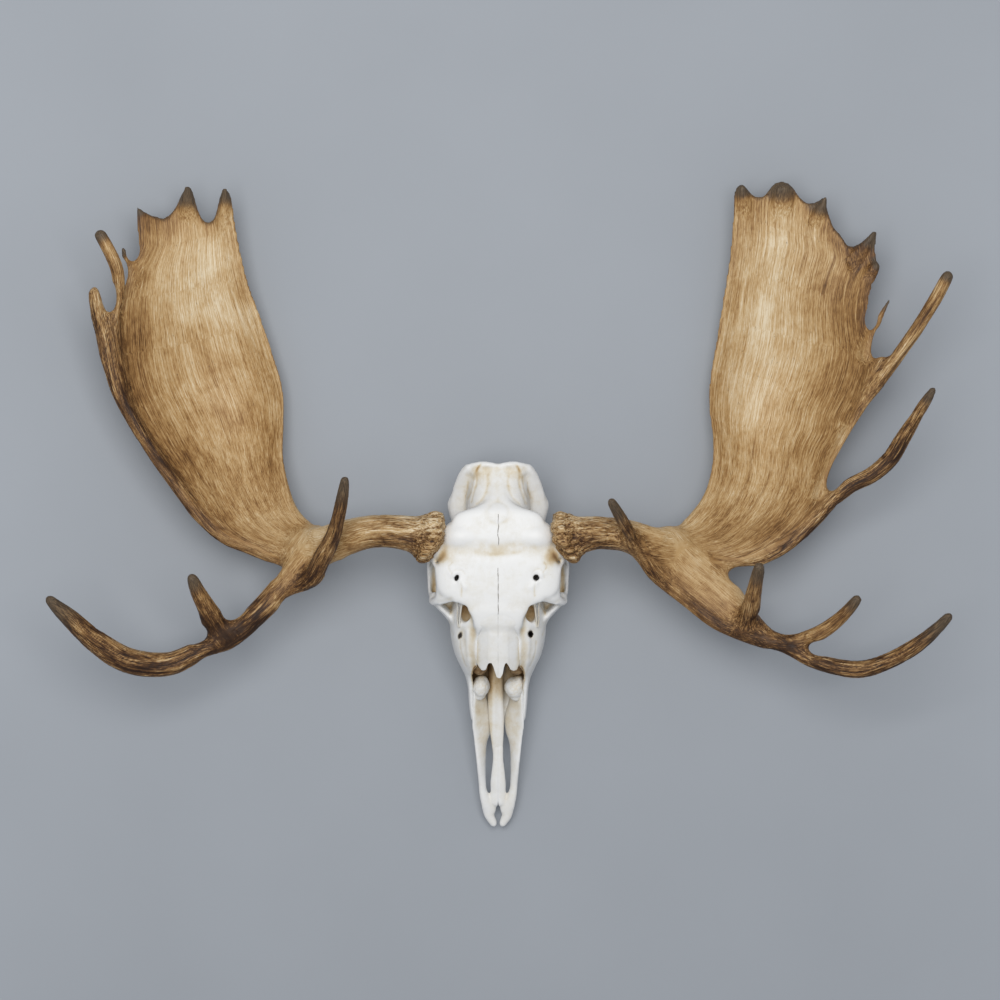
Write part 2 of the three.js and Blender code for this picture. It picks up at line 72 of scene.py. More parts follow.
RIGHT_ANTLER = {
    "side": -1,
    "beam": [
        (84, -51, 168, 27, 27), (86, -51, 168, 33, 33), (91, -51, 168, 37, 37), (99, -51, 168, 39, 39),
        (108, -50, 168, 37, 37), (124, -48, 168, 30, 30), (159, -43, 166, 26, 27), (198, -43, 158, 26, 26),
        (237, -53, 146, 28, 24), (274, -66, 130, 34, 21), (303, -66, 114, 36, 17),
    ],
    "inner": [
        (258, -34, 116), (292, -30, 96), (316, -7, 78), (331, 30, 64), (341, 77, 54), (340, 133, 47),
        (342, 184, 44), (357, 237, 44), (378, 300, 48), (395, 347, 54), (408, 402, 62), (415, 440, 67),
        (419, 475, 74), (421, 512, 84),
    ],
    "outer": [
        (339, -94, 102), (379, -75, 98), (408, -66, 100), (448, -42, 104), (478, -6, 107), (508, 34, 109),
        (545, 84, 111), (573, 127, 113), (594, 172, 115), (602, 212, 117), (602, 250, 118), (601, 295, 116),
        (595, 332, 111), (588, 358, 105), (577, 380, 99), (567, 400, 95), (567, 425, 92), (569, 455, 92),
        (571, 490, 96),
    ],
    "crown": [
        (412, 436), (417, 462), (420, 480), (424, 492), (430, 499), (436, 495), (441, 483), (446, 463),
        (451, 450), (459, 446), (466, 448), (471, 455), (476, 468), (480, 486), (484, 498), (489, 503),
        (496, 497), (503, 484), (510, 469), (519, 457), (529, 451), (549, 457), (560, 463), (568, 468),
        (575, 468),
    ],
    "dip": (8, 73.7, 18),
    "thick": (34, 12, 9),
    "stretch": 1.10,
    "pale": (0.34, 0.80, 0.30, 0.24, 0.26),
    "look": {
        "beam": (1.2, 0.4, 0.57, 0.56, (60, 160), 0), "rim": (1.8, 1.5, 0.44, 0.27, (60, 240), 0),
        "rear": (1.2, 0.7, 0.38, 0.36, (80, 220), 30), "snag_rear": (0.4, 0.4, 0.46, 0.38, (20, 60), 26),
        "brow": (0.3, 1.3, 0.47, 0.31, (60, 170), 100),
    },
    "tips": [(568, 470, 26), (489, 503, 52), (430, 501, 42)],
    "patches": [
        (400, -208, 48, 26, -0.26), (494, 273, 24, 18, -0.10), (458, 210, 26, 20, -0.09),
        (427, 135, 30, 24, -0.10), (372, 60, 22, 30, -0.08), (318, -30, 26, 16, -0.05),
        (345, -152, 10, 24, 0.14), (616, 305, 26, 36, 0.18), (566, 250, 20, 70, -0.12),
        (586, 190, 26, 60, -0.08), (520, 60, 40, 40, -0.10), (400, -205, 40, 26, -0.10),
        (640, -190, 30, 30, 0.10), (330, -70, 60, 14, 0.05), (150, -60, 55, 10, -0.14),
        (130, -38, 50, 10, 0.08), (402, -10, 10, 60, 0.10), (606, 130, 8, 90, 0.10),
    ],
    "pleats": [(0.08, 1.2), (0.47, 3.0), (0.95, 1.5)],
    "gouges": [
        (0.55, 0.05, 0.98, 0.065, 0.28), (0.42, 0.09, 0.93, 0.11, 0.24), (0.52, 0.14, 0.80, 0.16, 0.2),
        (0.66, 0.35, 0.90, 0.37, 0.2), (0.12, 0.74, 0.42, 0.82, 0.3), (0.08, 0.50, 0.30, 0.56, 0.35),
        (0.10, 0.30, 0.34, 0.33, 0.3), (0.70, 0.60, 0.90, 0.63, 0.15),
    ],
    "branches": {
        "rim": [
            (300, -88, 112, 14, 10), (346, -90, 104, 12, 10), (390, -73, 98, 11, 10),
            (433, -55, 102, 12, 11), (471, -18, 106, 13, 12), (508, 32, 110, 13, 12),
            (544, 82, 112, 13, 12), (572, 128, 114, 14, 12), (594, 175, 117, 15, 13),
            (606, 220, 121, 14.5, 11.5), (613, 262, 127, 14.5, 11), (621, 300, 134, 14, 10.5),
            (624.5, 326, 140, 12, 9.5), (625.5, 338, 142, 9.5, 8),
        ],
        "rear": [
            (584, 150, 100, 9, 9), (592, 225, 112, 9, 9), (595, 279, 123, 9.5, 8.5),
            (590, 333, 136, 9.5, 8.5), (591, 362, 147, 11, 8.5), (603, 394, 157, 10.5, 8.5),
            (615, 417, 165, 9.5, 8), (618, 423, 167, 8.5, 7.5),
        ],
        "snag_rear": [
            (572, 345, 98, 12, 7), (579, 372, 101, 9, 6.5), (584, 388, 106, 6, 5),
            (588, 402, 112, 2.5, 2.5),
        ],
        "web_brow": [
            (268, -42, 111, 18, 14), (298, -54, 111, 21, 14), (328, -78, 108, 18, 12),
            (352, -90, 104, 12, 10),
        ],
        "corner": [(545, 425, 78, 14, 5), (556, 446, 84, 10, 5), (566, 464, 92, 3, 3)],
        "point_middle": [
            (492, 420, 62, 18, 5), (491, 455, 71, 14, 5), (490, 482, 83, 9, 5), (489, 501, 92, 3.5, 3.5),
        ],
        "point_inner": [
            (437, 415, 63, 12, 5), (434, 450, 71, 10, 5), (431, 478, 82, 7.5, 5), (430, 498, 92, 3.5, 3.5),
        ],
        "brow": [
            (282, -64, 117, 31, 18), (322, -114, 126, 22, 18), (367, -163, 135, 18, 17),
            (409, -200, 137, 19, 18), (440, -220, 139, 17, 17), (468, -230, 142, 16.5, 16),
            (509, -248, 148, 18.5, 16), (568, -243, 166, 20.5, 17), (617, -211, 188, 18, 15),
            (656, -172, 212, 14, 12.5), (676, -151, 228, 9.5, 9), (685, -140, 235, 6, 6),
        ],
        "brow_inner": [
            (344, -132, 120, 8, 8), (318, -134, 130, 12, 12), (290, -116, 145, 16, 15),
            (271, -85, 171, 15.5, 15), (253, -51, 206, 13, 13), (241, -15, 238, 10.8, 10.8),
            (233, 18, 264, 8.8, 8.8), (230, 34, 277, 7, 7), (229, 41, 283, 5, 5),
        ],
        "brow_middle": [
            (418, -215, 136, 24, 15), (436, -190, 145, 21, 15), (450, -160, 166, 15, 13),
            (461, -135, 185, 12, 11), (467, -118, 196, 9.5, 9), (471, -107, 203, 6, 6),
        ],
    },
}

LEFT_ANTLER = {
    "side": 1,
    "beam": [
        (84, -51, 168, 27, 27), (86, -51, 168, 33, 33), (91, -51, 168, 37, 37), (99, -51, 168, 39, 39),
        (107, -50, 168, 36, 36), (124, -48, 168, 30, 30), (157, -45, 164, 26, 26), (197, -50, 154, 26, 25),
        (233, -62, 140, 30, 23), (266, -68, 124, 37, 20), (296, -66, 110, 38, 16),
    ],
    "inner": [
        (237, -32, 116), (281, -32, 98), (309, -8, 80), (327, 19, 68), (339, 60, 58), (341, 101, 52),
        (335, 157, 47), (337, 200, 44), (347, 261, 44), (359, 337, 48), (367, 395, 54), (371, 457, 63),
        (371, 500, 73), (372, 540, 84),
    ],
    "outer": [
        (370, -94, 112), (416, -76, 108), (455, -50, 108), (488, -18, 110), (508, 12, 111), (517, 50, 111),
        (530, 82, 111), (546, 106, 111), (555, 133, 113), (570, 162, 115), (584, 201, 117), (588, 235, 116),
        (583, 264, 112), (580, 296, 107), (583, 325, 102), (590, 350, 98), (598, 372, 95), (594, 390, 94),
        (594, 410, 95), (600, 445, 98), (606, 480, 102),
    ],
    "crown": [
        (366, 470), (372, 490), (377, 502), (384, 506), (391, 502), (399, 492), (408, 486), (416, 485),
        (424, 490), (432, 502), (440, 508), (449, 510), (458, 507), (465, 501), (471, 493), (477, 485),
        (485, 477), (493, 475), (504, 478), (512, 483), (517, 484), (519, 466), (529, 438), (542, 423),
        (551, 408), (560, 406), (570, 411), (583, 422), (591, 429), (597, 429), (612, 418),
    ],
    "dip": (10, 74.6, 18),
    "thick": (32, 12, 9),
    "stretch": 1.13,
    "pale": (0.34, 0.72, 0.24, 0.30, 0.30),
    "look": {
        "beam": (1.3, 0.4, 0.51, 0.54, (60, 160), 0), "brow": (0.15, 1.2, 0.50, 0.29, (160, 240), 110),
        "rear": (0.8, 0.8, 0.50, 0.42, (30, 120), 26),
    },
    "tips": [(384, 506, 34), (446, 512, 50), (514, 484, 42), (592, 430, 44), (598, 378, 18)],
    "patches": [
        (441, 154, 24, 24, -0.10), (366, 300, 14, 34, -0.06), (545, 300, 50, 70, -0.09),
        (520, 190, 40, 50, -0.07), (470, 90, 40, 26, -0.05), (381, 14, 70, 14, 0.07),
        (538, 96, 5, 34, 0.12), (365, -160, 28, 18, -0.05), (430, -218, 60, 14, -0.16),
        (540, -248, 50, 10, 0.12), (330, -208, 70, 12, -0.16), (640, 250, 20, 60, 0.06),
        (610, 60, 16, 40, -0.10),
    ],
    "pleats": [(0.06, 1.0), (0.36, 2.5), (0.70, 2.0), (0.96, 1.5)],
    "gouges": [
        (0.70, 0.68, 0.90, 0.73, 0.55), (0.80, 0.60, 0.88, 0.62, 0.35), (0.74, 0.85, 0.90, 0.91, 0.35),
        (0.74, 0.50, 0.97, 0.56, 0.25), (0.60, 0.04, 0.98, 0.05, 0.28), (0.42, 0.09, 0.90, 0.11, 0.22),
        (0.06, 0.30, 0.40, 0.40, 0.4), (0.04, 0.45, 0.34, 0.56, 0.4), (0.10, 0.62, 0.42, 0.70, 0.3),
    ],
    "branches": {
        "rim": [
            (330, -92, 116, 12, 9), (382, -94, 112, 11, 10), (426, -79, 108, 11.5, 11),
            (465, -54, 109, 12, 11), (496, -22, 112, 13, 12), (520, 4, 118, 13, 12), (549, 28, 124, 13, 12),
            (582, 45, 132, 13, 12), (609, 70, 142, 13.5, 12), (627, 102, 156, 12.5, 11.5),
            (646, 137, 172, 10, 9.5), (660, 162, 186, 8, 7.5), (669, 179, 196, 4.5, 4.5),
        ],
        "lip": [(502, 8, 112, 10, 9), (516, 50, 112, 8, 8), (532, 84, 112, 8, 8), (552, 118, 113, 9, 8)],
        "rear": [
            (528, 70, 112, 6, 6), (555, 123, 114, 9, 8), (577, 164, 118, 11, 9.5), (600, 199, 126, 11, 9.5),
            (625, 235, 136, 10.5, 9.5), (651, 274, 150, 10.5, 9.5), (675, 316, 166, 10.5, 9.5),
            (690, 347, 179, 9.5, 9), (695, 358, 183, 8, 7.5),
        ],
        "web": [
            (566, 146, 114, 8, 6), (578, 180, 118, 12, 6), (590, 214, 122, 14, 6), (602, 236, 126, 12, 6),
        ],
        "web_brow": [
            (262, -78, 116, 26, 9), (306, -88, 111, 24, 8), (338, -96, 110, 20, 7), (352, -100, 110, 15, 6),
        ],
        "snag_rear": [
            (574, 225, 110, 12, 7), (585, 260, 113, 9, 6.5), (594, 286, 120, 5.5, 5),
            (602, 303, 125, 3.8, 3.5), (611, 320, 130, 2, 2),
        ],
        "point_outer": [
            (552, 372, 86, 16, 5), (572, 398, 92, 11, 5), (583, 414, 97, 6, 4.5), (591, 429, 102, 2.5, 2.5),
        ],
        "knob": [(580, 350, 94, 12, 6), (592, 371, 97, 8, 6), (597, 379, 98, 5, 5)],
        "point_third": [
            (500, 440, 72, 12, 5), (508, 460, 78, 9, 5), (513, 473, 83, 5.5, 4.5), (516, 484, 89, 2.5, 2.5),
        ],
        "lobe": [(452, 440, 62, 22, 5), (451, 475, 71, 18, 6), (449, 503, 82, 11, 5.5)],
        "point_inner": [(390, 450, 64, 14, 5), (388, 478, 71, 11, 5.5), (385, 503, 82, 4, 4)],
        "brow": [
            (250, -62, 124, 34, 18), (291, -106, 121, 44, 16), (330, -138, 120, 43, 15),
            (366, -170, 125, 33, 15), (400, -195, 133, 24, 15), (436, -218, 142, 16, 14),
            (468, -234, 152, 12.5, 12.5), (513, -250, 160, 13, 13), (558, -255, 172, 14, 13),
            (602, -240, 186, 13, 12), (642, -215, 204, 12, 11.5), (668, -190, 221, 9.5, 9),
            (684, -171, 233, 7, 7), (688, -166, 236, 5, 5),
        ],
        "brow_rim": [
            (244, -118, 130, 12, 12), (291, -154, 128, 11, 11), (333, -186, 133, 12, 12),
            (384, -208, 139, 13, 13), (430, -222, 145, 14, 14),
        ],
        "brow_inner": [
            (262, -126, 128, 14, 13), (244, -111, 134, 16, 14), (223, -81, 150, 14.5, 13.5),
            (203, -49, 186, 11.8, 11.5), (185, -18, 226, 9.2, 9), (174, -1, 249, 7.5, 7.5),
            (169, 7, 260, 5.5, 5.5),
        ],
        "brow_upright": [
            (385, -200, 134, 22, 13), (388, -178, 148, 18, 13), (391, -150, 176, 14, 13),
            (394, -120, 208, 11, 11), (396, -102, 227, 9.5, 9.5), (397, -90, 239, 7, 7),
        ],
        "brow_middle": [
            (418, -208, 140, 14, 13), (470, -211, 152, 13.5, 12), (506, -193, 168, 12, 11.5),
            (533, -168, 186, 10, 9.5), (549, -147, 198, 8, 7.5), (553, -140, 201, 6, 6),
        ],
    },
}

# How each branch is furrowed: depth of its furrows near its root and beyond, how pale it is (0 dark brown to
# 1 cream) near its root and beyond, the stretch over which it changes, and the length over which its end
# turns grey. An antler's own "look" goes before these.
BRANCH_LOOK = {
    "rim": (1.6, 1.3, 0.48, 0.31, (60, 200), 50), "lip": (0.5, 0.5, 0.74, 0.74, (0, 1), 0),
    "snag_rear": (0.4, 0.4, 0.48, 0.38, (20, 60), 36), "brow_rim": (1.3, 1.3, 0.30, 0.26, (0, 1), 0),
    "brow_inner": (1.3, 0.8, 0.17, 0.32, (50, 140), 90), "brow_middle": (1.1, 0.8, 0.20, 0.34, (20, 80), 50),
    "brow_upright": (1.0, 0.7, 0.20, 0.36, (20, 80), 70),
}
FLAT_BRANCHES = {  # webs and points that belong to the palm and take its look
    "web", "web_brow", "corner", "point_middle", "point_inner", "point_outer", "knob", "point_third", "lobe",
}

# The burr: where it is along the beam, how far its ridges stand out, how much further out its front starts,
# and the y of its middle.
BURR = {"from": 1.0, "to": 26.0, "rise": 3.8, "slant": 20.0, "middle": -51}

# ---------------------------------------------------------------- sizes of the skull

CORE = [  # braincase, face and upper jaw from back to front: y, half width, top, widest line, base
    (62, 38, 151, 110, 64), (50, 46, 157, 104, 52), (30, 49, 163, 100, 48), (10, 50, 172, 100, 46),
    (-16, 50, 180, 104, 48), (-50, 48, 182, 110, 50), (-84, 46, 182, 112, 52), (-112, 46, 180, 112, 48),
    (-135, 56, 178, 104, 36), (-150, 68, 172, 98, 26), (-170, 74, 169, 92, 24), (-190, 75.5, 164, 90, 24),
    (-211, 74, 157, 87, 24), (-237, 68, 149, 81, 24), (-258, 58.5, 132, 73, 25), (-274, 51.5, 112, 68, 28),
    (-301, 46.5, 86, 58, 31), (-350, 40, 64, 47, 34),
]
FRONTAL = [  # the roof over brain and eyes: y, half width, top, drop to its edge, depth under its edge
    (40, 8, 161, 6, 8), (30, 10, 165, 6, 10), (16, 13, 172, 6, 12), (4, 20, 179, 7, 12),
    (-4, 33, 184, 9, 13), (-9, 48, 187, 11, 14), (-13, 60, 188, 12, 15), (-20, 68, 189, 13, 18),
    (-51, 77, 190, 15, 30), (-72, 82, 189, 16, 26), (-84, 88, 188, 17, 20), (-98, 95, 187, 19, 12),
    (-112, 97, 186, 20, 9), (-134, 93, 184, 20, 9), (-142, 86, 183, 18, 10), (-149, 72, 182, 14, 12),
    (-155, 57, 181, 10, 14), (-165, 47, 180, 7, 14), (-174, 41, 178, 7, 12), (-192, 37, 171, 9, 10),
    (-207, 33, 159, 8, 6),
]
PEDICLE = [(40, -51, 162, 34, 29), (62, -51, 166, 29, 27.5), (88, -51, 168, 27.5, 27.5)]
PEDICLE_FRONT = [
    (56, -64, 158, 20, 22), (82, -70, 157, 17, 21), (97, -76, 157, 14, 19), (106, -80, 158, 12, 16),
]
EYE_RING = [
    (95, -100, 171, 3, 5), (92, -122, 168, 4, 6), (94, -143, 154, 3.5, 7), (101, -151, 128, 3, 8),
    (106.5, -140, 103, 3, 8), (108.5, -118, 91, 3, 8), (109, -98, 98, 3, 7), (106.5, -88, 122, 3, 6),
    (102, -88, 150, 3.2, 6), (95, -100, 171, 3, 5), (92, -122, 168, 4, 6),
]
SIDE_BARS = {  # joined on each side
    "lacrimal_bridge": [
        (74, -140, 170, 12, 6), (88, -147, 158, 9, 8), (99, -152, 134, 6, 9), (102, -150, 112, 6, 10),
    ],
    "cheek_plate": [
        (100, -140, 108, 6, 16), (94, -156, 112, 6, 22), (82, -169, 106, 6, 26), (70, -185, 98, 7, 26),
        (62, -208, 90, 9, 26),
    ],
    "orbit_floor": [
        (58, -96, 88, 16, 6), (72, -128, 88, 20, 6), (80, -150, 92, 18, 8), (66, -178, 88, 16, 12),
    ],
    "cheek_arch": [
        (56, 22, 97, 12, 9), (64, 6, 93, 9, 7), (66, -10, 90, 4.5, 8), (68, -26, 87, 4.5, 9),
        (78, -46, 86, 4.5, 9), (91, -66, 88, 4.5, 9), (101, -84, 91, 4.5, 9), (106, -98, 92, 4.5, 9),
        (108, -112, 90, 5, 8),
    ],
    "cheek_shelf": [(85, -154, 98, 10, 6), (96, -134, 90, 13, 5), (97, -108, 89, 13, 5), (96, -84, 91, 9, 5)],
    "temple_shelf": [
        (40, 58, 144, 10, 6), (46, 46, 135, 15, 6), (50, 26, 120, 20, 7), (54, 4, 108, 21, 7),
        (56, -18, 102, 19, 6), (54, -46, 98, 12, 6),
    ],
    "crest_web": [(18, 50, 149, 8, 8), (32, 51, 145, 9, 9), (44, 50, 136, 8, 8)],
    "temple_edge": [
        (45, 58, 147, 3.5, 5), (55, 46, 136, 3.5, 5), (63.5, 28, 116, 3.5, 5), (71.5, 12, 104, 3.5, 5),
        (76.5, 0, 98, 3.5, 5), (75, -12, 96, 3.5, 5), (70, -26, 95, 4, 5), (60, -44, 96, 6, 6),
    ],
    "paroccipital": [(44, 46, 90, 15, 12), (50, 42, 66, 11, 8), (51, 37, 46, 8, 5), (48, 32, 31, 4, 4)],
    "ear_tube": [(50, 16, 92, 9, 9), (62, 18, 90, 7, 7), (69, 20, 91, 6, 6)],
    "pterygoid": [(25, -58, 66, 4, 20), (23, -80, 56, 4, 24), (22, -100, 52, 4, 22), (24, -122, 48, 5, 20)],
    "alveolar_ridge": [
        (53, -108, 36, 11, 12), (53, -150, 34, 14, 12), (49, -200, 34, 13, 11), (42, -252, 34, 9, 10),
        (38, -275, 40, 6, 9),
    ],
    "jaw_edge": [(47, -262, 76, 5, 22), (44, -290, 66, 4, 20), (42, -320, 58, 4, 16), (39, -345, 54, 4, 13)],
}
CREST = [  # across the back of the braincase
    (-47, 57, 141, 5, 6), (-30, 61, 151, 5, 5.5), (-13, 60.5, 153, 5, 5), (0, 58, 151, 5, 5),
    (13, 60.5, 153, 5, 5), (30, 61, 151, 5, 5.5), (47, 57, 141, 5, 6),
]
BASE_BAR = [
    (0, 60, 66, 16, 9), (0, 30, 56, 20, 9), (0, -10, 58, 16, 8), (0, -60, 66, 13, 8), (0, -110, 76, 10, 8),
]
EGGS = [  # joined on each side: middle, half sizes, turns
    ((23, 48, 77), (14, 16, 20), (25, 0, -12)), ((36, 8, 52), (13, 17, 12), (0, 10, 12)),
]
LACRIMAL_BARS = [  # thin bars over the hollow in front of each eye
    [(56, -146, 160, 1.6, 3), (57, -160, 157, 1.4, 4), (59, -176, 150, 1.4, 4), (60, -192, 142, 1.6, 3)],
    [(64, -146, 156, 1.4, 3), (63, -162, 153, 1.2, 4), (63.5, -178, 147, 1.2, 4), (62, -192, 141, 1.4, 3)],
]
NOSE_ROOM = [  # cut out of the face: y, half width, top, widest line, base
    (-140, 28, 148, 106, 68), (-172, 42, 150, 96, 54), (-206, 48, 146, 92, 46), (-240, 44, 134, 86, 42),
    (-262, 42, 140, 78, 40), (-292, 38.5, 140, 70, 39), (-320, 37, 140, 64, 38.5), (-357, 35, 140, 58, 38),
]
WALL = 2.5  # how far off the room its painted shade reaches
ROOM_POWER = 2.86  # of the squared ellipse that the room is across
ROOMS = {  # cut on the midline: middle, half sizes, turns
    "brain": ((0, -2, 114), (42, 50, 36), (0, 0, 0)),
    "spine_hole": ((0, 56, 84), (16, 44, 15), (0, 0, 0)),
    "palate": ((0, -220, 12), (33, 150, 26), (0, 0, 0)),
    "throat": ((0, -74, 46), (19, 62, 26), (-8, 0, 0)),
}
HOLES = {  # cut on each side: middle, half sizes, turns
    "lacrimal_hollow": ((54, -168, 158), (11, 20, 22), (14, 0, 18)),
    "lacrimal_hollow_side": ((68, -162, 152), (10, 13, 10), (10, 0, 20)),
    "nose_window": ((48, -168, 140), (7, 16, 20), (10, -20, 14)),
    "ear_hole": ((66, 19, 91), (12, 3.4, 3.4), (0, 0, 0)),
}
UPPER_HOLES = {  # over each eye and in front of it: x, y, half sizes, turn about z, the bone's height
    "left": [(59, -113.5, 4.9, 5.2, 0, 183), (50, -202, 3.5, 6.2, 16, 147)],
    "right": [(63.5, -113.5, 4.1, 5.8, 20, 183), (60, -205, 2.5, 5.4, 18, 138)],
}
HOLE_DEPTH = 34
SMALL_VOXEL = 1.5  # width of the quads on the small fused bones
NASAL = {
    "stations": [  # y, half width of both together, top, drop to its edge
        (-166, 26, 178.5, 6), (-200, 31, 168, 11), (-236, 34, 157, 15), (-262, 33.5, 147, 17),
        (-272, 33, 143, 18),
    ],
    "back": -166.0, "thick": 5.0, "ledge": -1.3,
    "front": {  # the notched ends: x, y
        "right": [
            (0, -270), (2, -269), (4.5, -262), (7, -253), (9.9, -247), (14, -246.5), (16.8, -250.5),
            (18.9, -257.5), (23, -259), (26.8, -258), (30, -254), (33, -249), (35, -246),
        ],
        "left": [
            (0, -270.5), (3.5, -270.5), (7.2, -264.5), (8.9, -254), (11, -247.5), (13.5, -246.5),
            (17, -252), (20, -258), (25, -259.5), (30, -258), (33, -250), (35, -247),
        ],
    },
}
MUZZLE_BAR = [
    (32, -282, 72, 15, 3.5, 64), (28.5, -318, 59, 19, 4, 52), (25.5, -345, 51.5, 21.6, 4.5, 43),
    (25.5, -362, 48, 18.6, 4.8, 42), (27.4, -380, 45.5, 14.3, 5, 48), (26.8, -416, 39.5, 11, 5.2, 59),
    (25.4, -444, 32, 7.0, 5.4, 50), (24.2, -457, 29.5, 7.0, 5.4, 38), (21.4, -468, 27, 8.4, 6.3, 24),
    (14.6, -484, 23.5, 12, 6.3, 10), (14, -498, 20, 8.4, 6, 4), (9.8, -507, 17.8, 6.8, 5.6, 0),
    (7.2, -512.5, 16.8, 5.6, 5.2, 0), (5.6, -517.5, 16.2, 4.6, 4.6, 0),
]
MUZZLE_PROCESS = [
    (0.5, -362, 43, 6.5, 3.5), (0.5, -390, 40, 7.8, 4.5), (0.5, -412, 37, 8.4, 5),
    (0.8, -430, 34, 10.4, 5.5), (1, -446, 31, 11.4, 6), (1.0, -460, 28, 11.4, 6),
    (2.2, -472, 26, 12.4, 6.2), (3, -484, 24.5, 10, 6.2),
]
VOMER = [
    (-1, -160, 78, 7, 30), (-2, -206, 66, 9, 24), (-3.5, -250, 58, 11.8, 18), (-4, -300, 54, 12.6, 14),
    (-3, -336, 50, 12.4, 9), (-2, -362, 46, 11, 6), (-1, -384, 41.5, 8.8, 4), (0, -408, 35, 7, 3),
]
SCROLLS = {  # lumps of each scroll bone: middle and half sizes
    "left": [((25, -290, 76), (15, 17, 16)), ((27.5, -303, 71), (8.5, 9, 10)), ((33, -282, 76), (8, 12, 14))],
    "right": [((27, -288, 76), (13.5, 18, 17)), ((30, -302, 71), (10, 8, 10)), ((20, -290, 73), (7, 9, 11))],
}
SCROLL_ROOT = [(33, -176, 98, 12, 17), (34, -206, 96, 15, 22), (31, -240, 94, 15, 22), (28, -268, 84, 13, 17)]
TEETH = [  # from the front: name, x and y of the middle of the crown, its length and width, its lobes
    ("premolar_2", 42, -243, 19, 17, 1), ("premolar_3", 46, -222, 21, 20, 1),
    ("premolar_4", 49, -200.5, 20, 22, 1), ("molar_1", 51.5, -177, 25, 25, 2),
    ("molar_2", 53, -150, 27, 26, 2), ("molar_3", 53, -122.5, 26, 24, 2),
]
GUM_LINE = 24.0

# Lines on the upper side of the skull, on both sides: half width, rise, how brown they are, and their points.
# A negative rise sinks.
STROKES = [
    (4.0, 0.9, 0.0, [(24, 58), (33, 50), (36, 36), (39, 22), (44, 6)]),
    (1.6, -0.6, 0.22, [(27, 60), (32, 54), (33, 44), (33, 32), (37, 18), (42, 2)]),
    (1.2, -0.5, 0.16, [(30, 58), (36, 48), (38, 34), (41, 20), (46, 8)]),
    (1.4, -0.5, 0.16, [(16, 44), (15, 34), (18, 20), (24, 9), (33, 0)]),
    (0.9, -0.4, 0.14, [(46, 34), (47, 22), (51, 10)]),
    (13.0, -2.6, 0.05, [(0, -71), (30, -70), (66, -72)]),
    (5.0, -0.4, 0.08, [(0, -66), (24, -62)]), (3.0, -0.3, 0.08, [(0, -78), (34, -75)]),
    (6.0, -1.5, 0.24, [(37, -196), (39, -212), (38, -236), (36, -262)]),
    (3.0, 1.0, 0.0, [(48, -196), (49, -220), (45, -248), (40, -272)]),
    (5.0, 1.4, 0.0, [(52, -128), (60, -118), (68, -108)]),
    (1.2, -0.7, 0.22, [(58, -120), (56, -130), (57, -142)]),
    (1.0, -0.6, 0.18, [(52, -108), (56, -103), (64, -101), (70, -106), (72, -114)]),
    (1.0, -0.5, 0.14, [(69, -108), (75, -96), (70, -90)]),
    (3.5, -0.8, 0.16, [(74, -147), (84, -152), (94, -150)]),
    (1.8, 1.0, 0.0, [(66, -151), (80, -157), (92, -155)]),
    (1.2, -0.6, 0.20, [(62, -154), (72, -166), (76, -186), (70, -204)]),
    (7.0, -1.6, 0.12, [(57, -196), (54, -214), (48, -236)]),
    (1.0, -0.5, 0.16, [(60, -214), (58, -232), (50, -254)]),
]
SEAMS = [(-16, -64, 1.1), (-99, -170, 0.5)]  # dark lines on the midline: from y, to y, how far they wander
STAINS = [  # soft brown patches: x, y, half width, half length, strength; mirrored
    (86, -80, 12, 15, 0.85), (76, -84, 12, 8, 0.24), (56, 26, 16, 34, -0.12), (48, 10, 9, 12, 0.16),
    (66, 4, 10, 10, 0.14), (34, 50, 10, 8, 0.14), (18, 50, 14, 10, 0.12), (92, -156, 8, 7, 0.12),
    (44, -172, 8, 14, 0.40), (40, -262, 5, 14, 0.20), (56, -160, 12, 10, 0.30), (101, -118, 4, 26, 0.40),
    (0, -74, 34, 7, 0.12), (0, -62, 20, 14, 0.05), (62, 20, 9, 22, 0.06),
]

# ---------------------------------------------------------------- numbers on lattices and curves


def lattice_noise(points, seed):
    """Smooth noise from -1 to 1: a random number at each whole corner, blended by 6t^5 - 15t^4 + 10t^3."""
    corner = np.floor(points).astype(np.int64)
    share = points - corner
    share = share**3 * (share * (share * 6 - 15) + 10)
    total = np.zeros(len(points))
    for number in range(8):
        offset = np.array([number & 1, number >> 1 & 1, number >> 2 & 1])
        key = ((corner + offset) * [73856093, 19349663, 83492791]).sum(1) + seed * 40503
        key = (key ^ key >> 13) * 1274126177 & 0xFFFFFFFF
        value = ((key ^ key >> 16) & 0xFFFF) / 32767.5 - 1
        total += value * np.prod(np.where(offset, share, 1 - share), axis=1)
    return total


def cloudy(points, seed, octaves=3):
    """Lattice noise summed at doubled frequency and halved strength, for as many octaves."""
    return sum(lattice_noise(points * 2**k, seed + k) / 2**k for k in range(octaves)) / 1.6


def eased(value, low, high):
    """0 below low, 1 above high and 3s^2-2s^3 between them; low may be the larger one."""
    share = np.clip((value - low) / (high - low), 0, 1)
    return share * share * (3 - 2 * share)


def bell(value, reach):
    """1 where the value is zero and 1/e at the reach on both sides."""
    return np.exp(-((value / reach) ** 2))


def crease(value, reach):
    """1 where the value is zero, down straight to 0 at the reach on both sides."""
    return np.clip(1 - np.abs(value) / reach, 0, 1)


def batches(array):
    """The array in parts of about 20000, so that a table of distances stays small."""
    return np.array_split(array, len(array) // 20000 + 1)


def unit(vectors):
    return vectors / np.maximum(np.linalg.norm(vectors, axis=-1, keepdims=True), 1e-9)


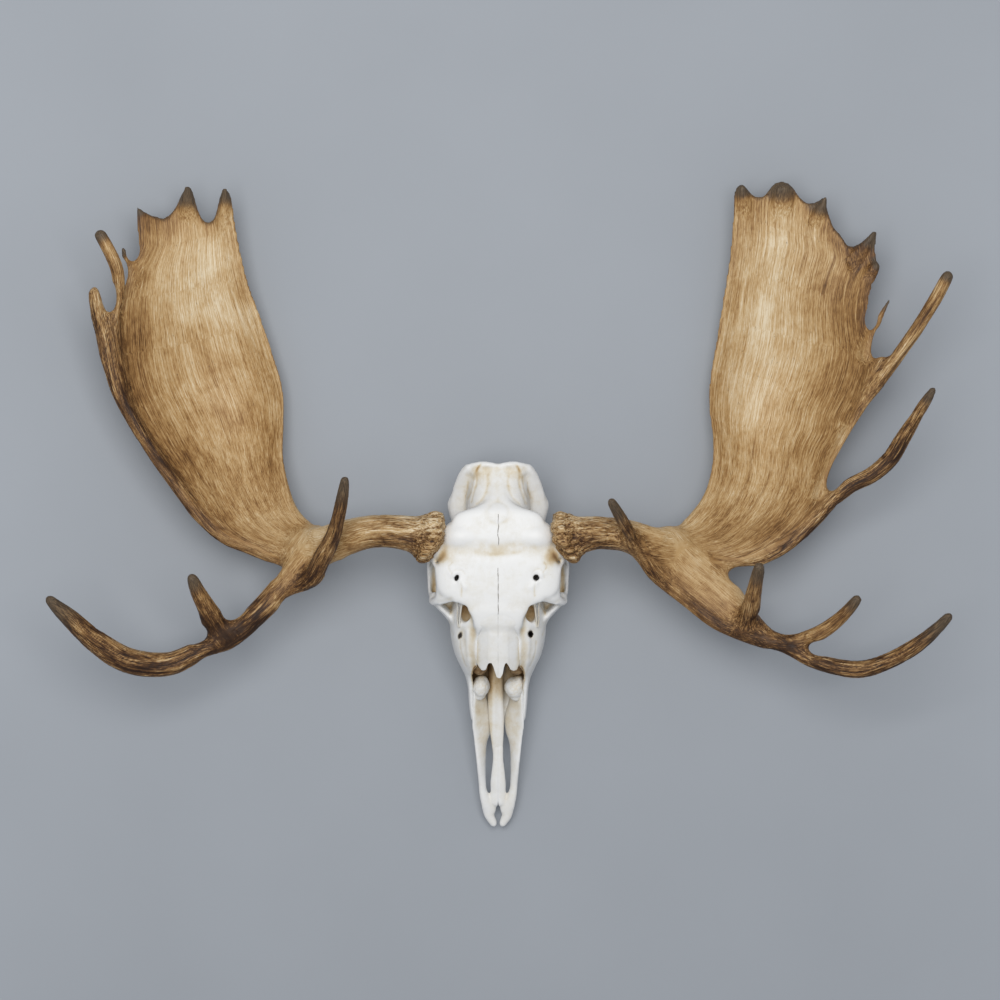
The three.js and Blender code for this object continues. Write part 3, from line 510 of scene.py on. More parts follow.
def curve_through(stations, spacing=None, count=None):
    """Even steps along a centripetal Catmull-Rom curve through the stations, and the distance run at each.

    On each span the curve is the cubic that meets both stations with the slope that their neighbours give.
    Columns after the third, such as widths, are carried along in the same way.
    """
    points = np.asarray(stations, float)
    gaps = np.sqrt(np.linalg.norm(np.diff(points[:, :3], axis=0), axis=1))[:, None]
    slopes = np.diff(points, axis=0) / gaps
    tangents = np.concatenate([slopes[:1], slopes[:-1] + slopes[1:], slopes[-1:]])
    tangents[1:-1] -= (points[2:] - points[:-2]) / (gaps[1:] + gaps[:-1])
    t = np.linspace(0, 1, 16, endpoint=False)[None, :, None]
    leave = (tangents[:-1] * gaps)[:, None]
    arrive = (tangents[1:] * gaps)[:, None]
    fine = points[:-1, None] * (2 * t**3 - 3 * t**2 + 1) + points[1:, None] * (3 * t**2 - 2 * t**3)
    fine = fine + leave * (t**3 - 2 * t**2 + t) + arrive * (t**3 - t**2)
    fine = np.concatenate([fine.reshape(-1, points.shape[1]), points[-1:]])
    run = np.concatenate([[0], np.cumsum(np.linalg.norm(np.diff(fine[:, :3], axis=0), axis=1))])
    count = count or max(4, int(run[-1] / spacing) + 1)
    at = np.linspace(0, run[-1], count)
    return np.stack([np.interp(at, run, column) for column in fine.T], axis=1), at


# ---------------------------------------------------------------- closed shells


def closed_skin(rings, zipped=False):
    """Vertices and faces of a closed skin over rings of points, (rings, points, 3), faces outward.

    The ends are fans round their middles, or zipped, which joins each point to the one across from it.
    """
    count, around, _ = rings.shape
    vertices = rings.reshape(-1, 3)
    first = np.arange((count - 1) * around).reshape(count - 1, around)
    quads = np.stack([first, np.roll(first, -1, 1), np.roll(first, -1, 1) + around, first + around], axis=-1)
    quads = quads.reshape(-1, 4)
    last = (count - 1) * around
    if zipped:
        j = np.arange(around // 2 - 1)
        lid = np.stack([j + 1, j, around - 1 - j, around - 2 - j], axis=-1)
        quads = np.concatenate([quads, lid, lid[:, ::-1] + last])
        fans = np.zeros((0, 3), int)
    else:
        ring = np.arange(around)
        start = np.stack([np.roll(ring, -1), ring, np.full(around, count * around)], axis=-1)
        end = np.stack([ring + last, np.roll(ring, -1) + last, np.full(around, count * around + 1)], axis=-1)
        fans = np.concatenate([start, end])
        vertices = np.concatenate([vertices, rings[[0, -1]].mean(axis=1)])
    corners = np.concatenate([quads[:, :3], quads[:, [0, 2, 3]], fans])
    a, b, c = vertices[corners].transpose(1, 0, 2)
    if (a * np.cross(b, c)).sum() < 0:
        quads, fans = quads[:, ::-1], fans[:, ::-1]
    return vertices, quads.tolist() + fans.tolist()


def egg(middle, radii, turns=(0, 0, 0), side=1, detail=40):
    """A ball stretched to three half sizes, then turned about x, y and z by degrees."""
    lat = np.linspace(0.02, np.pi - 0.02, detail)[:, None]
    lon = np.linspace(0, 2 * np.pi, 2 * detail, endpoint=False)[None]
    rings = np.stack([np.sin(lat) * np.cos(lon), np.sin(lat) * np.sin(lon), np.cos(lat) + 0 * lon], axis=-1)
    rings = rings * radii
    for axis, turn in enumerate(np.radians(turns)):
        j, k = (axis + 1) % 3, (axis + 2) % 3
        a, b = rings[..., j].copy(), rings[..., k].copy()
        rings[..., j] = a * np.cos(turn) - b * np.sin(turn)
        rings[..., k] = a * np.sin(turn) + b * np.cos(turn)
    return closed_skin((rings + middle) * [side, 1, 1])


def hull_skin(stations, square, step=2.5, around=96):
    """A body along y: at each station a squared ellipse, sgn(c)|c|^square by sgn(s)|s|^square.

    A station is (y, half width, top, widest line, base); the half above the widest line and the half below it
    have their own heights.
    """
    table = np.asarray(stations, float)
    still = np.zeros(len(table))
    rows, _ = curve_through(np.column_stack([still, table[:, 0], still, table[:, 1:]]), step)
    angle = np.linspace(0, 2 * np.pi, around, endpoint=False)[None]
    c, s = np.cos(angle), np.sin(angle)
    y, wide, top, mid, base = rows[:, [1, 3, 4, 5, 6]].T[..., None]
    height = np.where(s > 0, top - mid, mid - base) * np.sign(s) * np.abs(s) ** square
    return closed_skin(np.stack([wide * np.sign(c) * np.abs(c) ** square, y + 0 * c, mid + height], axis=-1))


class Strand:
    """A branch: an ellipse carried along its stations, with a round end.

    A ring is centre + across * wide * cos(angle) + over * deep * sin(angle), where across is level and at
    right angles to the way along, or turned about it. Both half sizes shrink as sqrt(1 - q^2) over the last
    stretch. thin_start is the share of the length over which the depth grows from next to nothing.
    """

    def __init__(self, stations, side=1, step=2.2, around=44, thin_start=0.0):
        rows, self.run = curve_through(stations, step)
        mirror = [side, 1, 1]
        centre = rows[:, :3]
        along = unit(np.gradient(centre, axis=0))
        across = unit(np.cross(along, UP))
        over = np.cross(across, along)
        if rows.shape[1] > 5:
            turn = np.radians(rows[:, 5:6])
            c, s = np.cos(turn), np.sin(turn)
            across, over = across * c - over * s, over * c + across * s
        self.length = self.run[-1]
        self.centre, self.along, self.across, self.over = (v * mirror for v in (centre, along, across, over))
        grown = 0.15 + 0.85 * eased(self.run, -0.1, thin_start * self.length + 0.1)
        self.wide = np.maximum(rows[:, 3], 0.5)
        self.deep = np.maximum(rows[:, 4], 0.5) * grown
        blunt = 1.2 * min(self.wide[-1], self.deep[-1])
        self.close = np.sqrt(1 - np.clip((self.run - self.length + blunt) / blunt, 0, 0.995) ** 2)
        self.around = around

    def skin(self):
        angle = np.linspace(0, 2 * np.pi, self.around, endpoint=False)
        wide = (self.wide * self.close)[:, None, None] * self.across[:, None]
        deep = (self.deep * self.close)[:, None, None] * self.over[:, None]
        c, s = np.cos(angle)[None, :, None], np.sin(angle)[None, :, None]
        return closed_skin(self.centre[:, None] + wide * c + deep * s)

    def locate(self, points, reach=45.0):
        """Local places of the points near the branch.

        Returns which points, (across, over, along), the distance to the branch's end and that off its skin.
        """
        low = self.centre.min(0) - reach
        high = self.centre.max(0) + reach
        near = np.flatnonzero(((points > low) & (points < high)).all(axis=1))
        if not len(near):
            return near, np.zeros((0, 3)), np.zeros(0), np.zeros(0)
        some = points[near].astype(np.float32)
        centres = self.centre.astype(np.float32)
        nearest = np.concatenate([
            ((part**2).sum(1)[:, None] - 2 * part @ centres.T + (centres**2).sum(1)[None]).argmin(1)
            for part in batches(some)
        ])
        offset = points[near] - self.centre[nearest]
        aside = (offset * self.across[nearest]).sum(1)
        above = (offset * self.over[nearest]).sum(1)
        forward = (offset * self.along[nearest]).sum(1)
        thin = np.minimum(self.wide, self.deep)[nearest]
        spread = np.hypot(aside / self.wide[nearest], above / self.deep[nearest])
        run = self.run[nearest] + forward
        beyond = np.maximum(np.maximum(run - self.length, -run), 0)
        off = np.abs(spread - 1) * thin + 2 * beyond
        return near, np.stack([aside, above, run], axis=1), self.length - run, off


class Plate:
    """A palm: rows from its inner to its outer edge, cut off along the line of its points.

    The place (t, u) is a share t up both edges and a share u across. The middle sheet sinks by
    dip * (1 - (2u-1)^2), and the skin stands half the thickness off it, less by (1 - |2u-1|^9)^(1/2) at the
    side edges and by a quarter circle at the points. WIDTH and HEIGHT are the sizes that the shares stand for
    where only the look depends on them.
    """

    ROWS = 260
    LANES = 118
    WIDTH = 190.0
    HEIGHT = 560.0

    def __init__(self, shape):
        side = shape["side"]
        self.side = side
        self.inner = curve_through(shape["inner"], count=self.ROWS)[0] * [side, 1, 1]
        self.outer = curve_through(shape["outer"], count=self.ROWS)[0] * [side, 1, 1]
        self.share = np.linspace(0, 1, self.ROWS)
        self.dip = shape["dip"]
        self.thick = shape["thick"]
        self.stretch = shape["stretch"]
        self.pleats = shape["pleats"]
        self.crown = np.array(shape["crown"], float)

    def through(self, values, t):
        """base, middle, top: eased from the first to the second over the lower half and on to the third."""
        t = np.clip(t * self.stretch, 0, 1)
        base, middle, top = values
        return np.where(
            t < 0.5, base + (middle - base) * eased(t, 0, 0.5), middle + (top - middle) * eased(t, 0.5, 1))

    def edges(self, t):
        pair = (self.inner, self.outer)
        return [np.stack([np.interp(t, self.share, edge[:, k]) for k in range(3)], axis=-1) for edge in pair]

    def sheet(self, t, u):
        """Points of the middle sheet."""
        inner, outer = self.edges(t)
        points = inner + (outer - inner) * u[..., None]
        points[..., 2] -= self.through(self.dip, t) * (1 - (2 * u - 1) ** 2)
        for place, rise in self.pleats:
            points[..., 2] += rise * bell(u - place, 0.09) * eased(t, 0.45, 0.95)
        return points

    def tops(self, u):
        """The share t at which each column u meets the line of the points."""
        t = np.linspace(0.5, 1, 500)[:, None]
        inner, outer = self.edges(t)
        column = inner + (outer - inner) * u[None, :, None]
        line = np.interp(np.abs(column[..., 0]), self.crown[:, 0], self.crown[:, 1])
        over = column[..., 1] > line
        return np.where(over.any(0), t[over.argmax(0), 0], 1.0)

    def half(self, t, u, top):
        """Half the thickness at (t, u) where the column ends at top."""
        side = np.sqrt(1 - np.abs(2 * u - 1) ** 9)
        end = np.clip((top - t) * self.HEIGHT / 6.0, 0, 1)
        start = np.clip(t * self.HEIGHT / 30.0, 0, 1)
        close = np.sqrt((1 - (1 - end) ** 2) * (0.06 + 0.94 * (1 - (1 - start) ** 2)))
        return self.through(self.thick, t) / 2 * side * close

    def skin(self):
        lane = 0.5 - 0.5 * np.cos(np.linspace(0, np.pi, self.LANES))
        top = self.tops(lane)
        t = self.share[:, None] * top[None]
        u = np.broadcast_to(lane[None], t.shape)
        middle = self.sheet(t, u)
        rise = self.half(t, u, top[None])[..., None] * UP
        return closed_skin(np.concatenate([middle + rise, (middle - rise)[:, ::-1]], axis=1), zipped=True)

    def locate(self, points):
        """The shares (t, u) of points seen from above, and how far they are off the skin.

        A point lies above every row whose line it has passed, so the count of those rows gives t, and its
        place along the row gives u.
        """
        picks = np.linspace(0, self.ROWS - 1, 90).astype(int)
        inner, span = self.inner[picks, :2], (self.outer - self.inner)[picks, :2]
        turn = np.empty((len(points), len(picks)), np.float32)
        for part in batches(np.arange(len(points))):
            dx = points[part, 0][:, None] - inner[None, :, 0]
            dy = points[part, 1][:, None] - inner[None, :, 1]
            turn[part] = self.side * (span[None, :, 0] * dy - span[None, :, 1] * dx)
        row = np.clip((turn > 0).sum(1) - 1, 0, len(picks) - 2)
        each = np.arange(len(points))
        before, after = turn[each, row], turn[each, row + 1]
        share = np.clip(before / np.where(before == after, 1, before - after), -1, 2)
        t = (row + share) / (len(picks) - 1)
        low, high = self.edges(np.clip(t, 0, 1))
        flat = (high - low)[:, :2]
        u = ((points[:, :2] - low[:, :2]) * flat).sum(1) / (flat**2).sum(1)
        width = np.linalg.norm(flat, axis=1)
        inside = np.clip(u, 0, 1)
        middle = self.sheet(np.clip(t, 0, 1), inside)
        gap = points[:, 2] - middle[:, 2]
        half = self.through(self.thick, np.clip(t, 0, 1)) / 2
        aside = np.maximum(np.maximum(-u, u - 1), 0) * width
        beyond = np.maximum(-t, 0) * self.HEIGHT
        off = np.maximum(np.abs(gap) - half, 0) + aside + beyond
        return t, u, gap, off


# ---------------------------------------------------------------- meshes


def mesh_object(name, shells):
    """One object from closed shells given as (vertices in millimetres, faces)."""
    vertices, faces, first = [], [], 0
    for points, polygons in shells:
        vertices.append(points)
        faces += [[index + first for index in polygon] for polygon in polygons]
        first += len(points)
    mesh = bpy.data.meshes.new(name)
    mesh.from_pydata((np.concatenate(vertices) * MM).tolist(), [], faces)
    mesh.update()
    piece = bpy.data.objects.new(name, mesh)
    bpy.context.collection.objects.link(piece)
    return piece


def apply_modifiers(piece):
    """Makes what the modifiers show into the object's own mesh."""
    depsgraph = bpy.context.evaluated_depsgraph_get()
    mesh = bpy.data.meshes.new_from_object(piece.evaluated_get(depsgraph))
    old = piece.data
    piece.modifiers.clear()
    piece.data = mesh
    bpy.data.meshes.remove(old)


def fuse(piece, voxel):
    """Joins the overlapping shells of an object into one even skin of quads, voxel millimetres wide."""
    remesh = piece.modifiers.new("Fuse", "REMESH")
    remesh.mode = "VOXEL"
    remesh.voxel_size = voxel * MM
    apply_modifiers(piece)
    return piece


def carve(piece, cutter):
    """Takes the cutter object out of the piece, and removes the cutter."""
    cut = piece.modifiers.new("Carve", "BOOLEAN")
    cut.operation = "DIFFERENCE"
    cut.solver = "MANIFOLD"
    cut.object = cutter
    apply_modifiers(piece)
    bpy.data.meshes.remove(cutter.data)


def get_points(piece):
    points = np.empty(len(piece.data.vertices) * 3, np.float32)
    piece.data.vertices.foreach_get("co", points)
    return points.reshape(-1, 3).astype(float) / MM


def set_points(piece, points):
    piece.data.vertices.foreach_set("co", (points * MM).astype(np.float32).ravel())
    piece.data.update()


def get_normals(piece):
    normals = np.empty(len(piece.data.vertices) * 3, np.float32)
    piece.data.vertex_normals.foreach_get("vector", normals)
    return normals.reshape(-1, 3).astype(float)


def get_edges(piece):
    edges = np.empty(len(piece.data.edges) * 2, np.int32)
    piece.data.edges.foreach_get("vertices", edges)
    return edges.reshape(-1, 2)


def around_mean(edges, values):
    """The mean of each vertex's neighbours along the edges."""
    a, b = edges.T
    count = len(values)
    reach = np.maximum(np.bincount(a, minlength=count) + np.bincount(b, minlength=count), 1)
    columns = values.reshape(count, -1).T
    total = [
        np.bincount(a, column[b], minlength=count) + np.bincount(b, column[a], minlength=count)
        for column in columns
    ]
    return (np.stack(total, axis=1) / reach[:, None]).reshape(values.shape)


def relax(points, edges, rounds, strength):
    """Moves each point towards the mean of its neighbours, rounds times, by a share that may vary."""
    share = np.broadcast_to(strength, len(points))[:, None]
    for _ in range(rounds):
        points = points + (around_mean(edges, points) - points) * share
    return points


def skin_of(piece, rounds=0):
    """The piece's points, edges and normals after so many rounds of smoothing."""
    edges = get_edges(piece)
    points = relax(get_points(piece), edges, rounds, 0.5)
    set_points(piece, points)
    return points, edges, get_normals(piece)


def push_out(piece, points, normals, height):
    """Moves each point out along its normal by its own height, but not below the floor."""
    points = points + normals * height[:, None]
    points[:, 2] = np.maximum(points[:, 2], FLOOR_GAP)
    set_points(piece, points)
    return points


def hollow_map(points, edges, normals, reach, rounds=30):
    """-1 on ridges to 1 in hollows: how far the mean of the neighbours lies out along the normal; the
    materials paint shade in hollows by it.
    """
    return np.clip(((relax(points, edges, rounds, 0.7) - points) * normals).sum(1) / reach, -1, 1)


def store(piece, **values):
    """Keeps each array on the mesh as a point attribute that the materials read."""
    for name, array in values.items():
        kind = "FLOAT_VECTOR" if array.ndim == 2 else "FLOAT"
        attribute = piece.data.attributes.new(name, kind, "POINT")
        attribute.data.foreach_set("vector" if array.ndim == 2 else "value", array.astype(np.float32).ravel())


def finish_piece(piece, build, nodes):
    """Smooth shading, the material that build makes once, under its own name, a place under the body's empty,
    and the imported parts it replaces hidden.
    """
    piece.data.materials.clear()
    piece.data.materials.append(bpy.data.materials.get(build.__name__) or build(Shader(build.__name__)))
    piece.data.polygons.foreach_set("use_smooth", np.ones(len(piece.data.polygons), bool))
    piece.data.update()
    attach(piece, BODY)
    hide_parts(*nodes)


# ---------------------------------------------------------------- antlers


SKIN_REACH = 7.0  # how far off its skin a branch still counts
MEETING_REACH = 18.0  # the same where branches are faired into each other
BACK_OFFSET = 40.0  # keeps the furrows of the palm's back apart from those of its front


def furrow_map(local, seed, width, length):
    """How near each point is to a furrow, 0 to 1: where a noise drawn out along the branch is zero."""
    place = local / [width, width, length]
    bend = cloudy(local / [40, 40, 90], seed + 7, 2)[:, None] * [0.5, 0.5, 0]
    value = lattice_noise(place + bend, seed) + 0.45 * lattice_noise(place * 2.1 + bend, seed + 3)
    return crease(value, 0.42) ** 1.3


def antler_fields(points, normals, shape, strands, plate, seed):
    """What the antler's surface does at each point, as sums over its palm and branches weighted by nearness.

    Returns the height to move out by, and the tone, tip, furrow and grain attributes.
    """
    count = len(points)
    names = ["height", "tone", "tip", "furrow", "streak"]
    totals = {name: np.zeros(count) for name in names}
    grain = np.zeros((count, 3))
    weights = np.zeros(count)
    best = np.zeros(count)
    second = np.zeros(count)

    def gather(near, weight, local, **values):
        nonlocal weights
        weights[near] += weight
        for name, value in values.items():
            totals[name][near] += weight * value
        leads = weight > best[near]
        second[near] = np.where(leads, best[near], np.maximum(second[near], weight))
        best[near] = np.where(leads, weight, best[near])
        grain[near[leads]] = local[leads]

    for number, (name, strand) in enumerate(strands.items()):
        if name in FLAT_BRANCHES:
            continue
        deep, deep_far, pale, pale_far, change, tip_length = {**BRANCH_LOOK, **shape["look"]}[name]
        near, local, to_end, off = strand.locate(points)
        weight = bell(off, SKIN_REACH) + 1e-6
        far = eased(local[:, 2], *change)
        depth = deep + (deep_far - deep) * far
        # Its last term makes one side of each branch darker and the other lighter: painted shade and light
        # across the branch.
        tone = pale + (pale_far - pale) * far - 0.12 * np.clip(local[:, 0] / 22, -1, 1)
        streak = np.clip(0.28 + 0.6 * depth, 0, 1)
        smooth_end = eased(to_end, 4, 80) * 0.85 + 0.15
        furrow = furrow_map(local, seed + number * 11, 9.0, 95.0)
        fine = furrow_map(local, seed + number * 11 + 5, 4.5, 60.0)
        height = -depth * smooth_end * (furrow + 0.45 * fine)
        height += 0.6 * cloudy(local / [22, 22, 60], seed + number, 2) * smooth_end
        if name == "beam":
            height, furrow = burr_height(local, furrow, height, seed)
        tip = 1 - eased(to_end, 6, tip_length) if tip_length else np.zeros(len(near))
        tone += 0.12 * cloudy(local / [26, 26, 110], seed + 31 + number, 2)
        furrow = np.maximum(furrow, 0.6 * fine) * smooth_end * np.clip(depth, 0.3, 1)
        gather(near, weight, local, height=height, tone=tone, tip=tip, furrow=furrow, streak=streak)

    t, u, gap, off = plate.locate(points)
    weight = bell(off, SKIN_REACH) + 1e-6
    local = np.stack([u * plate.WIDTH, gap + BACK_OFFSET * (normals[:, 2] < 0), t * plate.HEIGHT], axis=1)
    height, tone, tip, furrow = palm_relief(points, local, t, u, shape, plate, seed)
    gather(np.arange(count), weight, local, height=height, tone=tone, tip=tip, furrow=furrow, streak=0.52)
    for name in names:
        totals[name] /= weights
    warp = 9 * np.stack([cloudy(points / 55, seed + 91, 2), cloudy(points / 55, seed + 93, 2)], axis=1)
    for x, y, wide, long, change in shape["patches"]:
        away = (points[:, :2] * [shape["side"], 1] + warp - [x, y]) / [wide, long]
        totals["tone"] += change * np.exp(-(away**2).sum(1))
    clear = eased((best - second) / np.maximum(best, 1e-6), 0.0, 0.05) * totals["streak"]
    return totals, grain, clear


def burr_height(local, furrow, height, seed):
    """The burr: ridges along the beam that stand out inside its band and run on along the beam."""
    run = local[:, 2]
    band = eased(run, BURR["from"] - 4, BURR["from"] + 3) * eased(run, BURR["to"] + 26, BURR["to"] - 8)
    after = eased(run, BURR["from"], BURR["to"]) * eased(run, 190, 60)
    gaps = crease(lattice_noise(local / [5.2, 5.2, 60.0], seed + 43), 0.34) ** 1.2
    height = height * eased(run, 4, 40) + band * BURR["rise"] * (0.6 - 1.1 * gaps) - after * 1.4 * gaps
    return height, 0.9 * np.maximum(furrow * eased(run, 10, 50) * 0.7, np.maximum(band, after) * gaps**1.6)


def slant_burr(points, side, seed):
    """Starts the burr's front half further out than its back half, and makes its edge by the skull ragged."""
    out = points[:, 0] * side
    front = eased(BURR["middle"] - points[:, 1], 0, 40)
    near_skull = eased(out, 98, 84)
    points[:, 0] += side * BURR["slant"] * front * eased(out, 156, 84)
    points[:, 0] += side * 3.0 * lattice_noise(points * [0, 1, 1] / 5.2, seed + 47) * near_skull
    return points


def palm_relief(points, local, t, u, shape, plate, seed):
    """The palm's faces: faint furrows fanning from its base, a few long gouges, ridges by its inner edge."""
    place = local / [7.0, 60.0, 150.0]
    fan = furrow_map(local, seed + 61, 6.5, 170.0)
    coarse = lattice_noise(local / [16, 60, 260], seed + 65)
    inner_edge = eased(u, 0.16, 0.02) * eased(t, 0.15, 0.5)
    base = eased(t, 0.42, 0.05)
    height = -(0.18 + 0.5 * base + 0.3 * inner_edge) * fan + 0.4 * coarse + 0.35 * cloudy(place, seed + 67, 2)
    dark = fan * (0.12 + 0.22 * base + 0.14 * inner_edge)
    wander = 0.006 * lattice_noise(local / [1e3, 1e3, 60], seed + 71)
    for start, from_u, end, to_u, strength in shape["gouges"]:
        lane = from_u + (to_u - from_u) * np.clip((t - start) / (end - start), 0, 1)
        reach = eased(t, start, start + 0.06) * eased(t, end, end - 0.08)
        line = bell((u + wander - lane) * plate.WIDTH, 2.2) * reach * strength
        height -= 0.7 * line
        dark = np.maximum(dark, line)
    middle_u, middle_t, wide, long, strength = shape["pale"]
    pale = strength * np.exp(-(((u - middle_u) / wide) ** 2) - ((t * plate.stretch - middle_t) / long) ** 2)
    outward = eased(u, 0.55, 0.95)
    tone = 0.53 + pale - 0.13 * outward + 0.09 * cloudy(local / [45, 45, 90], seed + 73, 3)
    top = np.interp(np.clip(u, 0, 1), np.linspace(0, 1, 200), plate.tops(np.linspace(0, 1, 200)))
    from_top = (top - t) * plate.HEIGHT
    # Darker brown towards the points, and a thin line of painted shade along the inner edge.
    tone -= 0.20 * eased(from_top, 50, 4) + 0.14 * eased(u, 0.03, 0.0) * eased(t, 0.1, 0.3)
    tone -= 0.16 * eased(u, 0.88, 1.0) * eased(t, 0.05, 0.2)
    # A thin line of painted shade along the crown's edge, shown as greyed ends.
    tip = 0.6 * eased(from_top, 7, 1)
    for x, y, reach in shape["tips"]:
        away = np.hypot(points[:, 0] * shape["side"] - x, points[:, 1] - y)
        tip = np.maximum(tip, eased(away, reach, 0.35 * reach))
    return height, tone, tip, dark


def make_antler(name, shape, nodes, seed, settings):
    """Palm and branches fused into one growth, faired where they meet, then furrowed."""
    side = shape["side"]
    strands = {"beam": Strand(shape["beam"], side)}
    for key, stations in shape["branches"].items():
        strands[key] = Strand(stations, side, thin_start=0.6 if key in FLAT_BRANCHES else 0.0)
    plate = Plate(shape)
    piece = mesh_object(name, [strand.skin() for strand in strands.values()] + [plate.skin()])
    fuse(piece, settings.voxel / MM)
    points, edges = get_points(piece), get_edges(piece)
    fairing = junctions(points, strands, plate)
    points = relax(points, edges, 3, 0.5)
    points = relax(points, edges, settings.fairing, fairing * 0.7)
    set_points(piece, points)
    normals = get_normals(piece)
    totals, grain, clear = antler_fields(points, normals, shape, strands, plate, seed)
    points = points + normals * (totals["height"] * settings.relief)[:, None]
    points = slant_burr(points, side, seed)
    points[:, 2] = np.maximum(points[:, 2], FLOOR_GAP)
    set_points(piece, points)
    furrow = np.clip(totals["furrow"], 0, 1)
    store(piece, tone=totals["tone"], tip=totals["tip"], furrow=furrow, grain=grain, clear=clear)
    finish_piece(piece, antler_surface, nodes)


def junctions(points, strands, plate):
    """1 where two or more parts of the growth meet and 0 elsewhere: how near the second nearest is."""
    nearness = [bell(plate.locate(points)[3], MEETING_REACH)]
    for name, strand in strands.items():
        if name in FLAT_BRANCHES:
            continue
        near, _, _, off = strand.locate(points)
        value = np.zeros(len(points))
        value[near] = bell(off, MEETING_REACH)
        nearness.append(value)
    ranked = np.sort(np.stack(nearness), axis=0)
    return eased(ranked[-2], 0.12, 0.8)


# ---------------------------------------------------------------- skull

BONE_HOLLOW = 4.0  # how deep a hollow of the bone is where its painted shade is full


def line_distance(plan, line):
    """How far each point is, in plan, from a smooth line through the points; 1000 where it isn't near."""
    rows, _ = curve_through([(x, y, 0) for x, y in line], 1.0)
    rows = rows[:, :2]
    near = np.flatnonzero(((plan > rows.min(0) - 30) & (plan < rows.max(0) + 30)).all(axis=1))
    distance = np.full(len(plan), 1000.0)
    for part in batches(near):
        if len(part):
            gap = plan[part][:, None] - rows[None]
            distance[part] = np.sqrt((gap**2).sum(2).min(1))
    return distance


def nasal_skin(name, side, grow=0.0):
    """A nasal bone: rings from its back to its notched front, each out along its top and back underneath.

    The top falls from the midline as drop * (x / half width)^2 and the thickness closes at both sides. At its
    back it takes the curve of the roof of the skull, drop * (1 - |x / half width|^3.45)^0.29 over the edge.
    Where grow is not 0 the skin is the cutter that makes its room in the skull, wider by grow on each side.
    """
    cutter = grow != 0
    table = np.array(NASAL["stations"], float)
    share = np.concatenate([[0], 0.5 - 0.5 * np.cos(np.linspace(0, np.pi, 56))[1:-1], [1]])
    wide = table[:, 1].max()
    edge = np.array(NASAL["front"][name], float)
    front = np.full(len(share), -274.0) if cutter else np.interp(share * wide, edge[:, 0], edge[:, 1])
    back = NASAL["back"] - 8 * cutter - 7 * share**2
    t = np.linspace(0, 1, 110)[:, None]
    y = back[None] + (front - back)[None] * t
    half, top, drop = (np.interp(-y, -table[:, 0], table[:, k]) for k in (1, 2, 3))
    if cutter:
        half = half - 6 * eased(y, -206, -188)
    x = (0.08 - grow) + (half + 2 * grow) * share[None]
    z = top - drop * share[None] ** 2
    roof = np.array([(0, y, 0, wide, top, fall) for y, wide, top, fall, _ in FRONTAL], float)
    roof, _ = curve_through(roof, 2.5)
    over, ridge, fall = (np.interp(-y, -roof[:, 1], roof[:, k]) for k in (3, 4, 5))
    roof_z = ridge - fall + fall * (1 - np.clip(x / over, 0, 0.98) ** 3.45) ** 0.29
    joined = eased(y, -204, -186)
    z = z + (roof_z + 0.5 * eased(t, 0.02, 0.14) - 0.3 - z) * joined
    body = (1 - np.abs(2 * share - 1) ** 10)[None] ** 0.5 * np.clip(np.minimum(t, 1 - t) * 40, 0, 1) ** 0.5
    if cutter:
        z = z + 12
        thick = np.full_like(z, 39.0)
    else:
        thick = NASAL["thick"] * (1 - 0.45 * t) * body
        z = z - (NASAL["thick"] - thick) * np.where(share > 0.5, 0.3, 0.06)
        z = z + 0.9 * bell(share - 0.42, 0.2)[None] * (1 - joined)
    upper = np.stack([side * x, y, z], axis=-1)
    lower = np.stack([side * x, y, z - thick], axis=-1)
    return closed_skin(np.concatenate([upper, lower[:, ::-1]], axis=1), zipped=True)


def skull_shells():
    frontal = [(y, wide, top, top - drop, top - drop - under) for y, wide, top, drop, under in FRONTAL]
    shells = [hull_skin(CORE, 0.78), hull_skin(frontal, 0.58), Strand(CREST).skin(), Strand(BASE_BAR).skin()]
    for side in SIDES.values():
        shells += [Strand(stations, side).skin() for stations in (PEDICLE, PEDICLE_FRONT, EYE_RING)]
        shells += [Strand(bar, side).skin() for bar in SIDE_BARS.values()]
        shells += [egg(*one, side) for one in EGGS]
    return shells


def bone_grain(points):
    return 0.28 * cloudy(points / 16, 321, 3) + 0.12 * cloudy(points / 5, 331, 2)


def skull_cutters():
    cutters = [hull_skin(NOSE_ROOM, 0.7)] + [egg(*one) for one in ROOMS.values()]
    for name, side in SIDES.items():
        cutters += [egg(*one, side) for one in HOLES.values()]
        for x, y, a, b, turn, top in UPPER_HOLES[name]:
            cutters.append(egg((x, y, top), (a, b, HOLE_DEPTH), (0, 0, turn), side))
        cutters.append(nasal_skin(name, side, NASAL["ledge"]))
    return cutters


